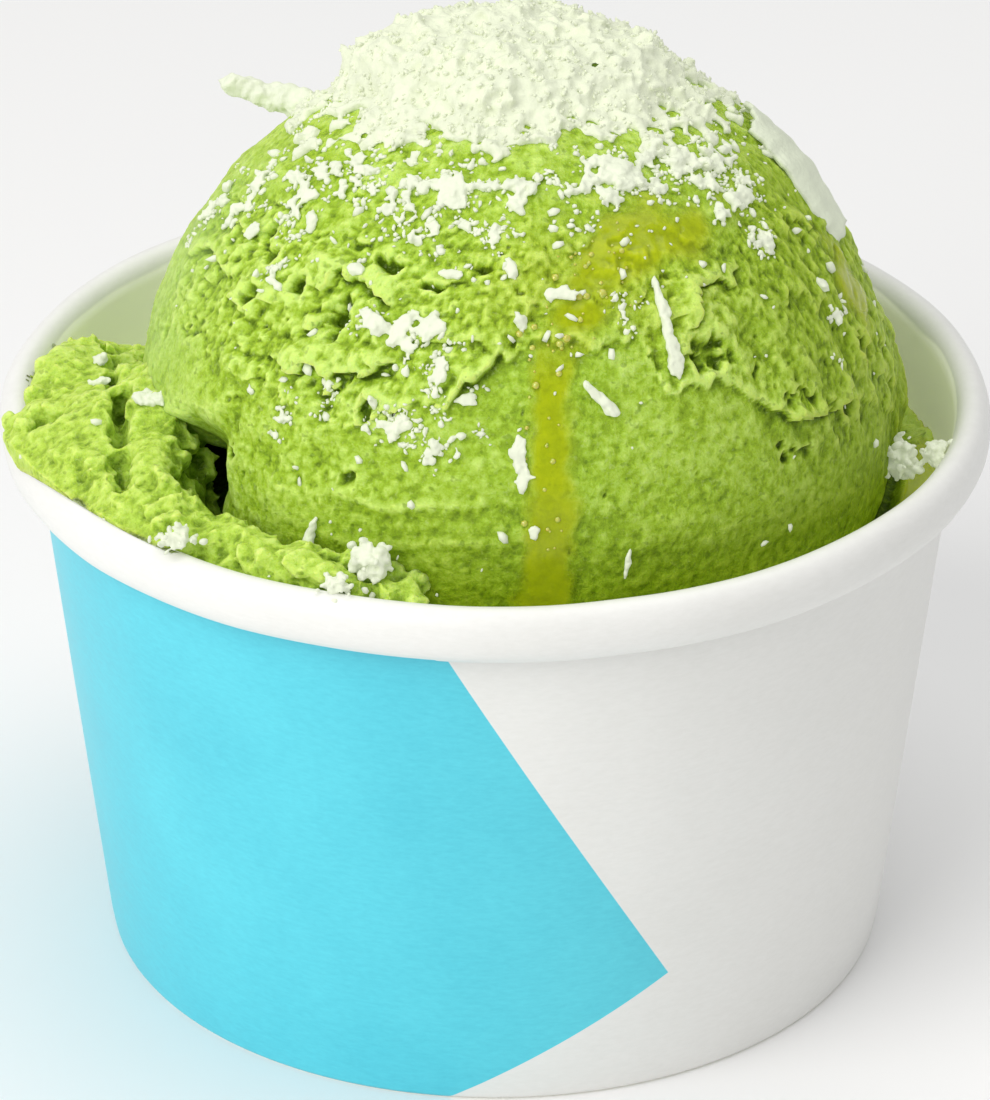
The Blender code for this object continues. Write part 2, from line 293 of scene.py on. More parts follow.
def ruffled(points, size, amount, seed=0):
    """Points shifted by noise, which makes what is drawn on them ragged."""
    return points + amount * np.stack([wander(points, size, seed + i) for i in range(3)], 1)


def holes(points, spacing, share, radius, seed=0):
    """Ragged holes, 1 deep in the middle, in a share of the cells of a scattered pattern."""
    distance, lot = seeds_near(ruffled(points, 0.9, 0.45, seed), spacing, seed)
    reach = radius * (0.55 + 0.6 * lot / share)
    return np.where(lot < share, np.clip(1 - (distance / reach) ** 2, 0, 1), 0.0)


def flat_noise(value, size, seed=0):
    """Noise along one direction only."""
    value = np.asarray(value, float)
    return wander(np.stack([value, 0 * value + 0.5, 0 * value + 0.5], 1), size, seed)


# %% Moving vertices
def places(bm):
    """Every vertex's place, in millimetres."""
    return np.array([vert.co for vert in bm.verts]) / MM


def normals(bm):
    bm.normal_update()
    return np.array([vert.normal for vert in bm.verts])


def move_to(bm, spots):
    for vert, spot in zip(bm.verts, spots * MM):
        vert.co = spot


# %% Finished pieces
def finish_piece(name, bm, material, replaces=()):
    """Makes an object of a bmesh, smooth shaded, and ties it to the cup."""
    mesh = bpy.data.meshes.new(name)
    bm.to_mesh(mesh)
    bm.free()
    mesh.materials.append(material)
    mesh.shade_smooth()
    piece = bpy.data.objects.new(name, mesh)
    bpy.context.scene.collection.objects.link(piece)
    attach(piece, "root")
    if replaces:
        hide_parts(*replaces)
    mesh.calc_loop_triangles()
    print(f"{name}: {len(mesh.vertices)} vertices, {len(mesh.loop_triangles)} triangles")
    return piece


def store(piece, name, values):
    """Keeps one number for each vertex on the mesh, for the material to read."""
    layer = piece.data.attributes.new(name, "FLOAT", "POINT")
    layer.data.foreach_set("value", np.asarray(values, np.float32))


def store_relief(piece, name, passes, depth):
    """Stores how far each vertex stands out of its smoothed surroundings, as a share of depth."""
    mesh = piece.data
    count = len(mesh.vertices)
    place = np.empty(count * 3)
    mesh.vertices.foreach_get("co", place)
    place = place.reshape(-1, 3)
    ends = np.empty(len(mesh.edges) * 2, int)
    mesh.edges.foreach_get("vertices", ends)
    first, second = ends[0::2], ends[1::2]
    links = np.bincount(ends, minlength=count)[:, None]
    smooth = place.copy()
    for _ in range(passes):
        pulled = np.empty_like(smooth)
        for i in range(3):
            column = smooth[:, i]
            pulled[:, i] = np.bincount(first, column[second], count)
            pulled[:, i] += np.bincount(second, column[first], count)
        smooth = 0.4 * smooth + 0.6 * pulled / links
    normal = np.empty(count * 3)
    mesh.vertex_normals.foreach_get("vector", normal)
    height = ((place - smooth) * normal.reshape(-1, 3)).sum(1) / depth
    store(piece, name, height)
    print(f"{piece.name} {name}: {height.std() * depth / MM:.3f} mm rms")


# %% Spun solids and sheets
def spun(outline, steps, closed):
    """A solid of revolution about Z. The outline's points are (radius, height)."""
    bm = bmesh.new()
    verts = [bm.verts.new((0.0, -radius, height)) for radius, height in outline]
    pairs = list(zip(verts, verts[1:]))
    if closed:
        pairs.append((verts[-1], verts[0]))
    edges = [bm.edges.new(pair) for pair in pairs]
    bmesh.ops.spin(
        bm,
        geom=verts + edges,
        cent=(0, 0, 0),
        axis=(0, 0, 1),
        angle=2 * math.pi,
        steps=steps,
        use_merge=True,
    )
    bmesh.ops.remove_doubles(bm, verts=bm.verts, dist=0.01 * MM)
    bmesh.ops.recalc_face_normals(bm, faces=bm.faces)
    return bm


def corner_offset(before, point, after, distance):
    """Moves a path's point sideways so that both neighbouring stretches shift by distance."""
    sides = []
    for start, end in ((before, point), (point, after)):
        if (end - start).length > 0:
            sides.append((end - start).orthogonal().normalized())
    first, last = sides[0], sides[-1]
    return point + (first + last) * distance / (1 + first.dot(last))


def sheet_outline(path, thickness):
    """The closed outline of a sheet whose middle follows a path of (radius, height) points."""
    points = [Vector(p) for p in path]
    left, right = [], []
    for i, point in enumerate(points):
        before = points[max(i - 1, 0)]
        after = points[min(i + 1, len(points) - 1)]
        left.append(tuple(corner_offset(before, point, after, thickness / 2)))
        right.append(tuple(corner_offset(before, point, after, -thickness / 2)))
    return left + right[::-1]


def arc(centre, half_width, half_height, start, end, count):
    """Points on an ellipse, from one angle to another."""
    points = []
    for i in range(count + 1):
        angle = start + (end - start) * i / count
        x = centre[0] + half_width * math.cos(angle)
        points.append((x, centre[1] + half_height * math.sin(angle)))
    return points


# %% [markdown]
# ## The cup
#
# A gelato tub is one coated sheet, wrapped and glued at a seam, with its top edge rolled
# outwards into a firm bead and its lower edge folded up inside to hold a round base. Here the
# middle of the sheet is drawn as a path in section, given the paper's thickness, and spun. The
# glued seam at the back is a small step, made by easing the wall outwards on one side of it.

# %% Cup sizes, in millimetres
paper = 0.5
wall_lean = math.radians(6.5)
foot_radius = 36.2
bead_width = 3.4
bead_height = 5.1
fold_height = 6.2
fold_spacing = 1.5
foot_corner = 0.4
base_top = 7.5
base_paper = 0.4
seam_azimuth = math.radians(171)
seam_step = 0.3


def wall_radius(height):
    """Radius of the wall's middle layer."""
    return foot_radius - paper / 2 + height * math.tan(wall_lean)


# %% The wall's path in section
def wall_path():
    middle = paper / 2
    inner = wall_radius(0) - fold_spacing
    outer = wall_radius(0)
    lean = math.tan(wall_lean)
    corner = middle + foot_corner
    path = [(inner + h * lean, h) for h in (fold_height, 4.5, 3.0, 1.6)]
    path += arc((inner + foot_corner, corner), foot_corner, foot_corner, math.pi, 1.5 * math.pi, 4)
    path += arc((outer - foot_corner, corner), foot_corner, foot_corner, -math.pi / 2, 0.0, 4)
    path += [(wall_radius(h), h) for h in np.linspace(2.0, 47.0, 24)]
    centre = (rim_radius - bead_width / 2, cup_height - bead_height / 2)
    half_width = bead_width / 2 - middle
    half_height = bead_height / 2 - middle
    path += arc(centre, half_width, half_height, math.pi, math.radians(-118), 34)
    return [(r * MM, h * MM) for r, h in path]


# %% Spin the wall, then let it be a little uneven
bm = spun(sheet_outline(wall_path(), paper * MM), 240, closed=True)
spots = places(bm)
azimuth = np.arctan2(spots[:, 0], -spots[:, 1])
radius = np.hypot(spots[:, 0], spots[:, 1])
turning = np.stack([np.cos(azimuth), np.sin(azimuth), 0 * azimuth], 1)
# The bead isn't a perfect roll: it waves a little, and the wall is a little out of round
high = smoothstep(15, cup_height, spots[:, 2])
wave = (0.22 * wander(turning, 0.55, 1) + 0.08 * wander(turning, 0.16, 2)) * high
lift = 0.14 * wander(turning, 0.45, 3) * high
# The outer face eases outwards up to the seam, where it drops back in one short step
before = seam_azimuth - azimuth
outside = radius > wall_radius(spots[:, 2]) - 0.02
near = (before >= 0) & (before < math.radians(14)) & outside
step = seam_step * smoothstep(0, 1, (math.radians(14) - before) / math.radians(5)) * near
spots[:, :2] *= (1 + (wave + step) / radius)[:, None]
spots[:, 2] += lift
move_to(bm, spots)

# %% [markdown]
# ### Printed paper
#
# The blue is a field of ink whose edge runs straight across the flat sheet before it is
# wrapped. In the shader, the distance round the cup is the azimuth times the radius, so an edge
# that is straight on the sheet stays straight there. The ink is a little uneven over the fine
# tooth of the paper, and the coating gives a soft sheen.

# %% Paper tooth, a group for every paper surface
tooth, given, result = new_group(
    "paper tooth",
    [("Vector", "NodeSocketVector", None), ("Depth", "NodeSocketFloat", 1.0)],
    [("Mottle", "NodeSocketFloat"), ("Height", "NodeSocketFloat")],
)
along = stretched(tooth, given.outputs["Vector"], (1.0, 1.0, 3.0))
fibres = noise_value(tooth, along, 900.0, 3.0, 0.65)
clouds = noise_value(tooth, given.outputs["Vector"], 70.0, 3.0)
half_clouds = calculate(tooth, "MULTIPLY", clouds, 0.5)
mottle = calculate(tooth, "MULTIPLY_ADD", fibres, 0.5, half_clouds)
tooth.links.new(mottle, result.inputs["Mottle"])
depth = calculate(tooth, "MULTIPLY", fibres, given.outputs["Depth"])
tooth.links.new(depth, result.inputs["Height"])


def use_tooth(tree, depth_mm):
    """Places the paper tooth in a material. Returns its place, mottle and bumped normal."""
    place = add_node(tree, "ShaderNodeTexCoord").outputs["Object"]
    grain = add_node(tree, "ShaderNodeGroup", node_tree=tooth)
    tree.links.new(place, grain.inputs["Vector"])
    grain.inputs["Depth"].default_value = depth_mm
    relief = add_node(
        tree, "ShaderNodeBump", {"Height": grain.outputs["Height"], "Distance": MM, "Strength": 1.0}
    )
    return place, grain.outputs["Mottle"], relief.outputs["Normal"]


# %% Where the ink lies
# The field's point, as distance round the cup and height, and its two edges' slopes
field_point = (15.9 * MM, 12.3 * MM)
upper_slope = -1 / 1.79
lower_slope = 1 / 0.605
mirror_line = -86.0 * MM


def ink_mask(tree, place):
    """1 where the sheet is printed, below the bead, and 1 on all of the outer face."""
    split = add_node(tree, "ShaderNodeSeparateXYZ", {"Vector": place}).outputs
    height = split["Z"]
    azimuth = calculate(tree, "ARCTAN2", split["X"], calculate(tree, "MULTIPLY", split["Y"], -1.0))
    radius = calculate(tree, "MULTIPLY_ADD", height, math.tan(wall_lean), foot_radius * MM)
    around = calculate(tree, "MULTIPLY", azimuth, radius)
    above = calculate(tree, "SUBTRACT", height, field_point[1])
    upper_edge = calculate(tree, "MULTIPLY_ADD", above, upper_slope, field_point[0])
    lower_edge = calculate(tree, "MULTIPLY_ADD", above, lower_slope, field_point[0])
    edge = calculate(tree, "MINIMUM", upper_edge, lower_edge)
    # At the back the field ends in a mirrored point
    turned = calculate(tree, "MULTIPLY_ADD", around, -1.0, mirror_line)
    front_side = calculate(tree, "SUBTRACT", edge, around)
    back_side = calculate(tree, "SUBTRACT", edge, turned)
    inside = calculate(tree, "MINIMUM", front_side, back_side)
    ink = number_map(tree, inside, -0.04 * MM, 0.04 * MM)
    crease = (cup_height - bead_height + 0.4) * MM
    below = number_map(tree, height, crease, crease + 0.1 * MM, 1.0, 0.0)
    flat_place = stretched(tree, place, (1.0, 1.0, 0.0))
    length = add_node(tree, "ShaderNodeVectorMath", {0: flat_place}, operation="LENGTH")
    proud = calculate(tree, "SUBTRACT", length.outputs["Value"], radius)
    outer = number_map(tree, proud, -0.35 * MM, -0.25 * MM)
    return calculate(tree, "MULTIPLY", calculate(tree, "MULTIPLY", ink, below), outer), outer


# %% Printed wall paper
printed, tree, shader = new_material(
    "printed paper", Roughness=0.42, Coat_Weight=0.12, Coat_Roughness=0.25, Emission_Strength=0.12
)
place, mottle, normal = use_tooth(tree, 0.012)
uneven = number_map(tree, mottle, 0.32, 0.68)
ink_colour = mix_colours(tree, uneven, (0.075, 0.58, 0.72, 1.0), (0.11, 0.69, 0.82, 1.0))
paper_colour = mix_colours(tree, uneven, (0.80, 0.80, 0.77, 1.0), (0.86, 0.86, 0.835, 1.0))
ink, outer = ink_mask(tree, place)
# The inner face is painted a brighter white than the outer paper, as painted light on the inside wall
paper_colour = mix_colours(tree, outer, (0.95, 0.96, 0.92, 1.0), paper_colour)
colour = mix_colours(tree, ink, paper_colour, ink_colour)
# A painted glow on the inner face stands for light that has come through the thin sheet
through = mix_colours(tree, outer, (1.0, 0.97, 0.72, 1.0), (0.0, 0.0, 0.0, 1.0))
tree.links.new(through, shader.inputs["Emission Color"])
tree.links.new(colour, shader.inputs["Base Color"])
tree.links.new(number_map(tree, mottle, 0.3, 0.7, 0.38, 0.5), shader.inputs["Roughness"])
tree.links.new(normal, shader.inputs["Normal"])
cup_wall = finish_piece("paper_wall", bm, printed, ["cup_wall"])

# %% Base disc
plain, tree, shader = new_material("plain paper", Roughness=0.6)
place, mottle, normal = use_tooth(tree, 0.02)
colour = mix_colours(tree, mottle, (0.76, 0.75, 0.71, 1.0), (0.86, 0.85, 0.82, 1.0))
tree.links.new(colour, shader.inputs["Base Color"])
tree.links.new(normal, shader.inputs["Normal"])


def skirt_radius(height):
    return wall_radius(height) - fold_spacing / 2


level = base_top - base_paper / 2
path = [(r, level - 0.25 * math.cos(math.pi * r / 50)) for r in (0.0, 8.0, 16.0, 24.0, 30.0)]
path += arc((skirt_radius(level) - 0.8, level - 0.8), 0.8, 0.8, math.pi / 2, 0.0, 6)
path += [(skirt_radius(h), h) for h in (4.5, 2.8, 1.2)]
outline = sheet_outline([(r * MM, h * MM) for r, h in path], base_paper * MM)
finish_piece("paper_base", spun(outline, 160, closed=False), plain, ["cup_base"])

# %% [markdown]
# ## The shape of the scoop
#
# Gelato worked with a spatula is a smooth mass wherever the blade last pressed it, and torn
# wherever the blade pulled away. This scoop has four kinds of surface: a torn band across its
# upper front that ends below in a ragged lip, the scraped front under that lip, a right side
# dragged into grooves, and a smooth left flank. Each is a field of noise with its own grain,
# and the fields are blended by where a point lies on the scoop. A torn layer is a slope that
# rises towards its lower edge and ends there in a drop with a hollow under it, so layers are
# made from a saw-toothed height.

# %% Places on the scoop, in degrees and millimetres
scoop_centre = np.array([2.1, -3.0, 52.5])
scoop_radius = 33.9
degree = scoop_radius * math.radians(1)
bed_level = 45.0
foot_of_dome = -12.0
lip_azimuths = [-110, -85, -65, -45, -28, -14, -8, -4, 4, 14, 22, 24, 32, 38, 43, 57, 72, 86, 110]
lip_elevations = [4, 16, 24, 23, 21, 27, 31, 35, 37.5, 35.5, 33.5, 27, 26.5, 25, 20.5, 16.5, 9, 1, -6]
top_azimuths = [-110, -85, -60, -40, -28, -12, 10, 40, 60, 90, 110]
top_elevations = [30, 44, 51, 50, 49, 51, 53, 50, 44, 36, 20]
# Deep pits under torn edges: azimuth, elevation, radius across and up, depth
pit_places = [
    (-47, 39, 1.0, 1.1, 1.9),
    (-58, 41, 1.2, 0.8, 1.5),
    (-63, 44, 1.0, 1.0, 1.2),
    (-28, 46, 1.3, 0.9, 1.6),
    (-17, 44, 1.9, 0.5, 1.4),
    (-7, 47, 1.0, 0.7, 1.4),
    (-35, 37, 1.2, 2.0, 1.6),
    (-57, 34, 0.9, 1.0, 1.0),
    (33, 31, 2.0, 1.6, 1.3),
    (44, 13, 0.9, 1.3, 1.1),
    (62, 15, 0.8, 1.5, 1.3),
    (-27, 14, 0.8, 0.7, 0.8),
    (-52, 10, 0.9, 0.6, 0.8),
]


def direction(azimuth, elevation):
    """Unit vectors from the scoop's centre. Angles in degrees."""
    round_by, up_by = np.radians(azimuth), np.radians(elevation)
    flat = np.cos(up_by)
    parts = np.sin(round_by) * flat, -np.cos(round_by) * flat, np.sin(up_by)
    return np.stack(np.broadcast_arrays(*parts), -1)


def lip_height(azimuth):
    """Elevation of the torn layer's lower edge, ragged at several scales."""
    line = np.interp(azimuth, lip_azimuths, lip_elevations)
    for reach, size, seed in ((11.0, 1.8, 1), (4.0, 1.7, 2), (1.6, 1.0, 3)):
        line = line + size * flat_noise(azimuth, reach, seed)
    return line


# %% Kinds of surface, heights in millimetres
def saw_layers(point, along, spacing, seed):
    """Overlapping torn layers, and how near each point is to a layer's lower edge."""
    warp = 0.5 * wander(point, 8.0, seed) + 0.3 * wander(point, 3.6, seed + 1)
    warp += 0.13 * wander(point, 1.7, seed + 2) + 0.07 * wander(point, 0.9, seed + 3)
    phase = along / spacing + warp
    share = phase - np.floor(phase)
    rise = 0.6 / spacing
    edge = smoothstep(0.0, rise, share)
    fall = np.clip(1 - (share - rise) / (1 - rise), 0, 1) ** 1.5
    height = edge * (0.45 + fall) - 0.45 * edge * smoothstep(0.7, 1.0, share) - 0.45
    return height, edge * (1 - smoothstep(rise, rise + 0.2, share))


def granular(point, seed):
    """The soft, crumbly grain of broken gelato."""
    distance, lot = seeds_near(point, 1.25, seed)
    height = (0.08 + 0.22 * lot) * (1 - (distance / 1.1) ** 2) - 0.1
    height += 0.12 * wander(point, 2.2, seed + 1) + 0.07 * lobes(point, 1.0, seed + 2)
    return height + 0.13 * wander(point, 0.75, seed + 3) + 0.09 * wander(point, 0.48, seed + 4)


def torn_surface(point, azimuth, elevation):
    tilt = elevation * degree - 0.16 * azimuth * degree
    first, first_edge = saw_layers(point, tilt, 6.5, 10)
    second, second_edge = saw_layers(point, tilt, 3.1, 20)
    strong = smoothstep(-0.15, 0.35, wander(point, 9.0, 30))
    weak = smoothstep(0.0, 0.5, wander(point, 5.0, 31))
    height = 0.8 * strong * first + 0.22 * weak * second + 0.5 * wander(point, 5.0, 32)
    height += 1.1 * granular(point, 33) - 0.7 * holes(point, 2.6, 0.1, 0.6, 38) - 0.2
    height -= 0.4 * holes(point, 1.3, 0.16, 0.36, 39)
    return height, np.maximum(strong * first_edge, 0.6 * weak * second_edge)


def rough_surface(point):
    height = 0.3 * wander(point, 4.2, 40) + 0.7 * granular(point, 41)
    return height - 0.6 * holes(point, 2.8, 0.1, 0.5, 46) - 0.3 * holes(point, 1.4, 0.1, 0.32, 47)


def scraped_surface(point):
    height = 0.22 * wander(point * (0.5, 0.5, 1.0), 3.0, 50) + 0.05 * wander(point, 0.9, 51)
    height += 0.035 * wander(point, 0.5, 52) + 0.06 * lobes(point, 1.5, 53)
    return height - 0.3 * holes(point, 2.6, 0.12, 0.45, 54)


def dragged_surface(point, azimuth, elevation):
    """Grooves that run down the right side, a little slanted, with torn ledges between."""
    across = (azimuth + 0.3 * elevation) * 0.52
    down = elevation * degree
    sheet = np.stack([across, down / 6.0, 0 * down], 1)
    height = 0.32 * wander(sheet, 1.9, 60) + 0.1 * lobes(sheet, 0.9, 61)
    height += 0.08 * wander(sheet, 0.45, 62) + 0.6 * granular(point, 65)
    layer, edge = saw_layers(point, down + 0.9 * wander(sheet, 1.1, 63), 11.0, 64)
    strong = smoothstep(0.0, 0.5, wander(point, 7.0, 68))
    height -= 0.4 * holes(point * (1, 1, 0.5), 1.6, 0.12, 0.34, 66)
    return height + 0.5 * strong * layer - 0.15, strong * edge


# %% Oil
# The run's middle line: azimuth, elevation, half width in millimetres
oil_run = [(26, 50, 3.0), (17, 46, 2.6), (10, 41, 2.2), (6, 35, 2.0), (5, 27, 2.0), (5, 18, 2.1)]
oil_run += [(4.5, 10, 2.2), (3.5, -4, 2.3)]
# The pools: azimuth, elevation, half width across and up in millimetres
oil_pools = [(33, 50, 6.5, 3.9), (77, 27, 2.6, 4.5), (12, 40, 4.5, 1.4)]


def oil_cover(azimuth, elevation):
    """How much oil lies at each place, from 0 to 1, with a soft edge."""
    squeeze = np.cos(np.radians(elevation))
    nearest = np.full(len(azimuth), 99.0)
    for (a0, e0, w0), (a1, e1, w1) in zip(oil_run, oil_run[1:]):
        step = np.array([(a1 - a0) * degree, (e1 - e0) * degree])
        x = (azimuth - a0) * degree * squeeze
        y = (elevation - e0) * degree
        step = np.stack([step[0] * squeeze, 0 * squeeze + step[1]], 1)
        share = np.clip((x * step[:, 0] + y * step[:, 1]) / (step**2).sum(1), 0, 1)
        gap = np.hypot(x - share * step[:, 0], y - share * step[:, 1]) - (w0 + (w1 - w0) * share)
        nearest = np.minimum(nearest, gap)
    point = direction(azimuth, elevation) * scoop_radius
    run = 1 - smoothstep(-1.0, 0.6, nearest + 0.6 * wander(point, 2.6, 70) + 0.4 * wander(point, 1.1, 72))
    # It lies thin between the pool and the foot of the torn layer
    cover = run * (1 - 0.5 * bump(elevation, 38, 9) * (1 - 0.5 * wander(point, 2.0, 73)))
    for spot_azimuth, spot_elevation, across, up in oil_pools:
        x = (azimuth - spot_azimuth) * degree * squeeze / across
        y = (elevation - spot_elevation) * degree / up
        pool = np.hypot(x, y) + 0.45 * wander(direction(azimuth, elevation) * scoop_radius, 3.0, 71)
        cover = np.maximum(cover, 1 - smoothstep(0.35, 1.3, pool))
    return cover


# %% Blend the kinds of surface over the scoop
def broad_radius(unit, azimuth, elevation):
    """The scoop's overall form, with the hollow at the left that the lump came out of."""
    radius = scoop_radius + 0.5 * wander(unit, 0.75, 80)
    radius = radius - 0.8 * smoothstep(55, 90, elevation)
    roll = smoothstep(-36, -54, azimuth)
    hollow = 1.0 * roll + 7.6 * smoothstep(-49, -72, azimuth + 3 * wander(unit, 0.12, 81))
    hollow = hollow * (1 - smoothstep(-96, -106, azimuth))
    top = np.interp(azimuth, (-96, -88, -80, -72, -60, -50), (0, 2, 5, 8, 14, 21))
    radius -= hollow * (1 - smoothstep(top - 9, top, elevation + 3 * wander(unit, 0.15, 82)))
    return radius + 2.4 * bump(azimuth, 104, 24) * bump(elevation, -2, 20)


def scoop_surface(azimuth, elevation):
    """The finished surface: each direction's place, how much oil lies there, and its painted shade and
    painted light.
    """
    unit = direction(azimuth, elevation)
    point = unit * scoop_radius
    above = elevation - lip_height(azimuth)
    top = np.interp(azimuth, top_azimuths, top_elevations) + 3 * flat_noise(azimuth, 8.0, 4)
    left_fade = smoothstep(-94, -70, azimuth)
    torn = smoothstep(-0.3, 0.6, above) * (1 - smoothstep(top - 3, top + 2, elevation)) * left_fade
    drag = bump(azimuth, 62, 36) * smoothstep(4, 12, elevation) * (1 - smoothstep(40, 52, elevation))
    side = smoothstep(70, 84, azimuth) * smoothstep(-16, -6, elevation) * 0.8
    drag = np.maximum(drag, side * (1 - smoothstep(40, 60, elevation)))
    torn = torn * (1 - 0.7 * drag)
    rough = bump(azimuth, -36, 46) * smoothstep(-2, 12, elevation) * (1 - torn)
    rough = np.maximum(rough, 0.6 * smoothstep(top, top + 3, elevation)) * left_fade
    smooth = np.clip(1 - torn - rough - drag, 0.05, 1)
    torn_height, torn_edge = torn_surface(point, azimuth, elevation)
    drag_height, drag_edge = dragged_surface(point, azimuth, elevation)
    height = torn * torn_height + drag * drag_height
    height += rough * rough_surface(point) + smooth * scraped_surface(point)
    # The torn layer stands above the scraped front, and its edge curls out
    ledge = smoothstep(-26, -8, azimuth) * (1 - 0.8 * smoothstep(54, 70, azimuth))
    ledge = 0.15 + ledge * (0.35 + 0.65 * smoothstep(-0.25, 0.25, flat_noise(azimuth, 10.0, 7)))
    height += 0.6 * ledge * smoothstep(-0.4, 0.6, above) * (1 - smoothstep(12, 28, above))
    curl = bump(azimuth, 27, 6) + 0.8 * bump(azimuth, 48, 9) + 0.6 * bump(azimuth, -7, 7)
    curl = (0.25 + curl) * ledge
    edge = np.exp(-(((above - 0.9) / 1.1) ** 2))
    height += 0.75 * curl * edge
    drop = 1.1 * curl * edge + 0.9 * torn * torn_edge + 0.6 * drag * drag_edge
    # Seams left where the spatula's strokes met
    for seam, size in ((13.5, 0.2), (7.5, 0.16)):
        line = seam + 0.09 * azimuth + 1.2 * flat_noise(azimuth, 9.0, int(seam))
        weight = bump(azimuth, -18, 28) * size
        height += weight * (bump(elevation, line, 1.2) - 0.6 * bump(elevation, line - 1.8, 1.3))
    for place_azimuth, place_elevation, across, up, depth in pit_places:
        x = (azimuth - place_azimuth) * degree * np.cos(np.radians(elevation)) / across
        y = (elevation - place_elevation) * degree / up
        gap = np.hypot(x, y) + 0.6 * wander(point, 1.6, 90) + 0.3 * wander(point, 0.8, 91)
        height -= depth * (1 - smoothstep(0.3, 1.1, gap))
    # Oil fills the relief and stands a little proud of it
    oil = oil_cover(azimuth, elevation)
    height = height * (1 - 0.7 * oil) + 0.22 * oil
    place = direction(azimuth, elevation - drop * (1 - oil)) * (
        broad_radius(unit, azimuth, elevation) + height
    )[:, None]
    wet = bump(azimuth, 14, 34) * bump(elevation, 44, 17) * smoothstep(-1, 4, above)
    # Painted shade darkens the low front and the right side, and painted light makes the left flank,
    # which faces the window, paler
    painted_shade = 1.2 * smoothstep(15, -7, elevation) * smoothstep(-52, -30, azimuth)
    painted_shade = np.maximum(painted_shade, 0.6 * smoothstep(26, 66, azimuth)) * (1 - smoothstep(44, 62, elevation))
    pale = bump(azimuth, -84, 30) * bump(elevation, 26, 34) * (1 - 0.5 * torn)
    oil_and_painted_light = np.stack([np.maximum(oil, 0.45 * wet), painted_shade, pale], 1)
    return scoop_centre + place, oil_and_painted_light


# %% Stations from the cup's floor to the crown
bed_stations = 18
low_rings = 128
high_rings = 24
heap_edge = 58.0


def ring_elevation(ring):
    low = foot_of_dome + (heap_edge - foot_of_dome) * ring / low_rings
    high = heap_edge + (90.0 - heap_edge) * (ring - low_rings) / high_rings
    return np.where(ring <= low_rings, low, high)


def bed_surface(azimuth, share, foot):
    """The trough between the cup's wall and the foot of the dome, share 0 at the wall."""
    edge_radius = wall_radius(bed_level) - paper / 2 - 0.15
    edge = direction(azimuth, 0 * azimuth) * edge_radius + (0, 0, bed_level)
    point = edge + (foot - edge) * share[:, None]
    shelf = np.maximum(bump(azimuth, 80, 34), bump(azimuth, -106, 26))
    lumps = 0.5 * wander(point, 3.0, 95) + 1.6 * granular(point, 96)
    pool = shelf * smoothstep(0.0, 0.2, share) * (1 - smoothstep(0.5, 0.7, share))
    point[:, 2] += 2.2 * shelf * (1 - smoothstep(0.55, 0.9, share)) - 0.9 * np.sin(math.pi * share)
    point[:, 2] += lumps * (1 - share) * (1 - 0.9 * smoothstep(0.2, 0.5, pool))
    # Painted shade in the trough: half at the wall, rising to full at the foot of the dome
    shade_darkened = 0.5 + 0.5 * smoothstep(0.2, 0.5, share)
    return point, np.stack([smoothstep(0.3, 0.6, pool), shade_darkened, 0 * share], 1)


# %% Spin a column of stations, then move every vertex to its place
scoop_steps = 520
crowding = 0.36
floor_level = base_top + 0.3
station_count = 4 + bed_stations + low_rings + high_rings + 1
bm = bmesh.new()
column = [bm.verts.new((0.0, -1.0, 0.01 * i)) for i in range(station_count)]
edges = [bm.edges.new(pair) for pair in zip(column, column[1:])]
bmesh.ops.spin(
    bm,
    geom=column + edges,
    cent=(0, 0, 0),
    axis=(0, 0, 1),
    angle=2 * math.pi,
    steps=scoop_steps,
    use_merge=True,
)
column_places = places(bm) * MM
# The columns are crowded towards the front, where the torn band is
turn = np.arctan2(column_places[:, 0], -column_places[:, 1])
azimuth = np.degrees(turn - crowding * np.sin(turn))
station = np.round(column_places[:, 2] / 0.01).astype(int)
ring = np.maximum(station - 4 - bed_stations, 0)
elevation = ring_elevation(ring)
spots, oil_and_painted_light = scoop_surface(np.where(elevation < 89.9, azimuth, 0.0), elevation)
share = (station - 4) / bed_stations
in_bed = (station > 3) & (share <= 1)
spots[in_bed], oil_and_painted_light[in_bed] = bed_surface(azimuth[in_bed], share[in_bed], spots[in_bed])
for index, height in enumerate((floor_level, floor_level, 20.0, 36.0)):
    low = station == index
    radius = 0.0 if index == 0 else wall_radius(height) - paper / 2 - 0.15
    spots[low] = direction(azimuth[low], 0 * azimuth[low]) * radius + (0, 0, height)
    oil_and_painted_light[low] = 0.0
# Layers for the oil, the painted shade, and the painted light on the left flank
oil_and_light_layers = [bm.verts.layers.float.new(name) for name in ("oil", "painted_shade", "pale")]
for vert, spot, covers in zip(bm.verts, spots * MM, oil_and_painted_light):
    vert.co = spot
    for layer, cover in zip(oil_and_light_layers, covers):
        vert[layer] = cover
bmesh.ops.remove_doubles(bm, verts=bm.verts, dist=0.002 * MM)
bm.normal_update()
bmesh.ops.recalc_face_normals(bm, faces=bm.faces)
scoop_tree = BVHTree.FromBMesh(bm)
print(f"scoop from {spots[:, 2].min():.1f} to {spots[:, 2].max():.1f} mm high")
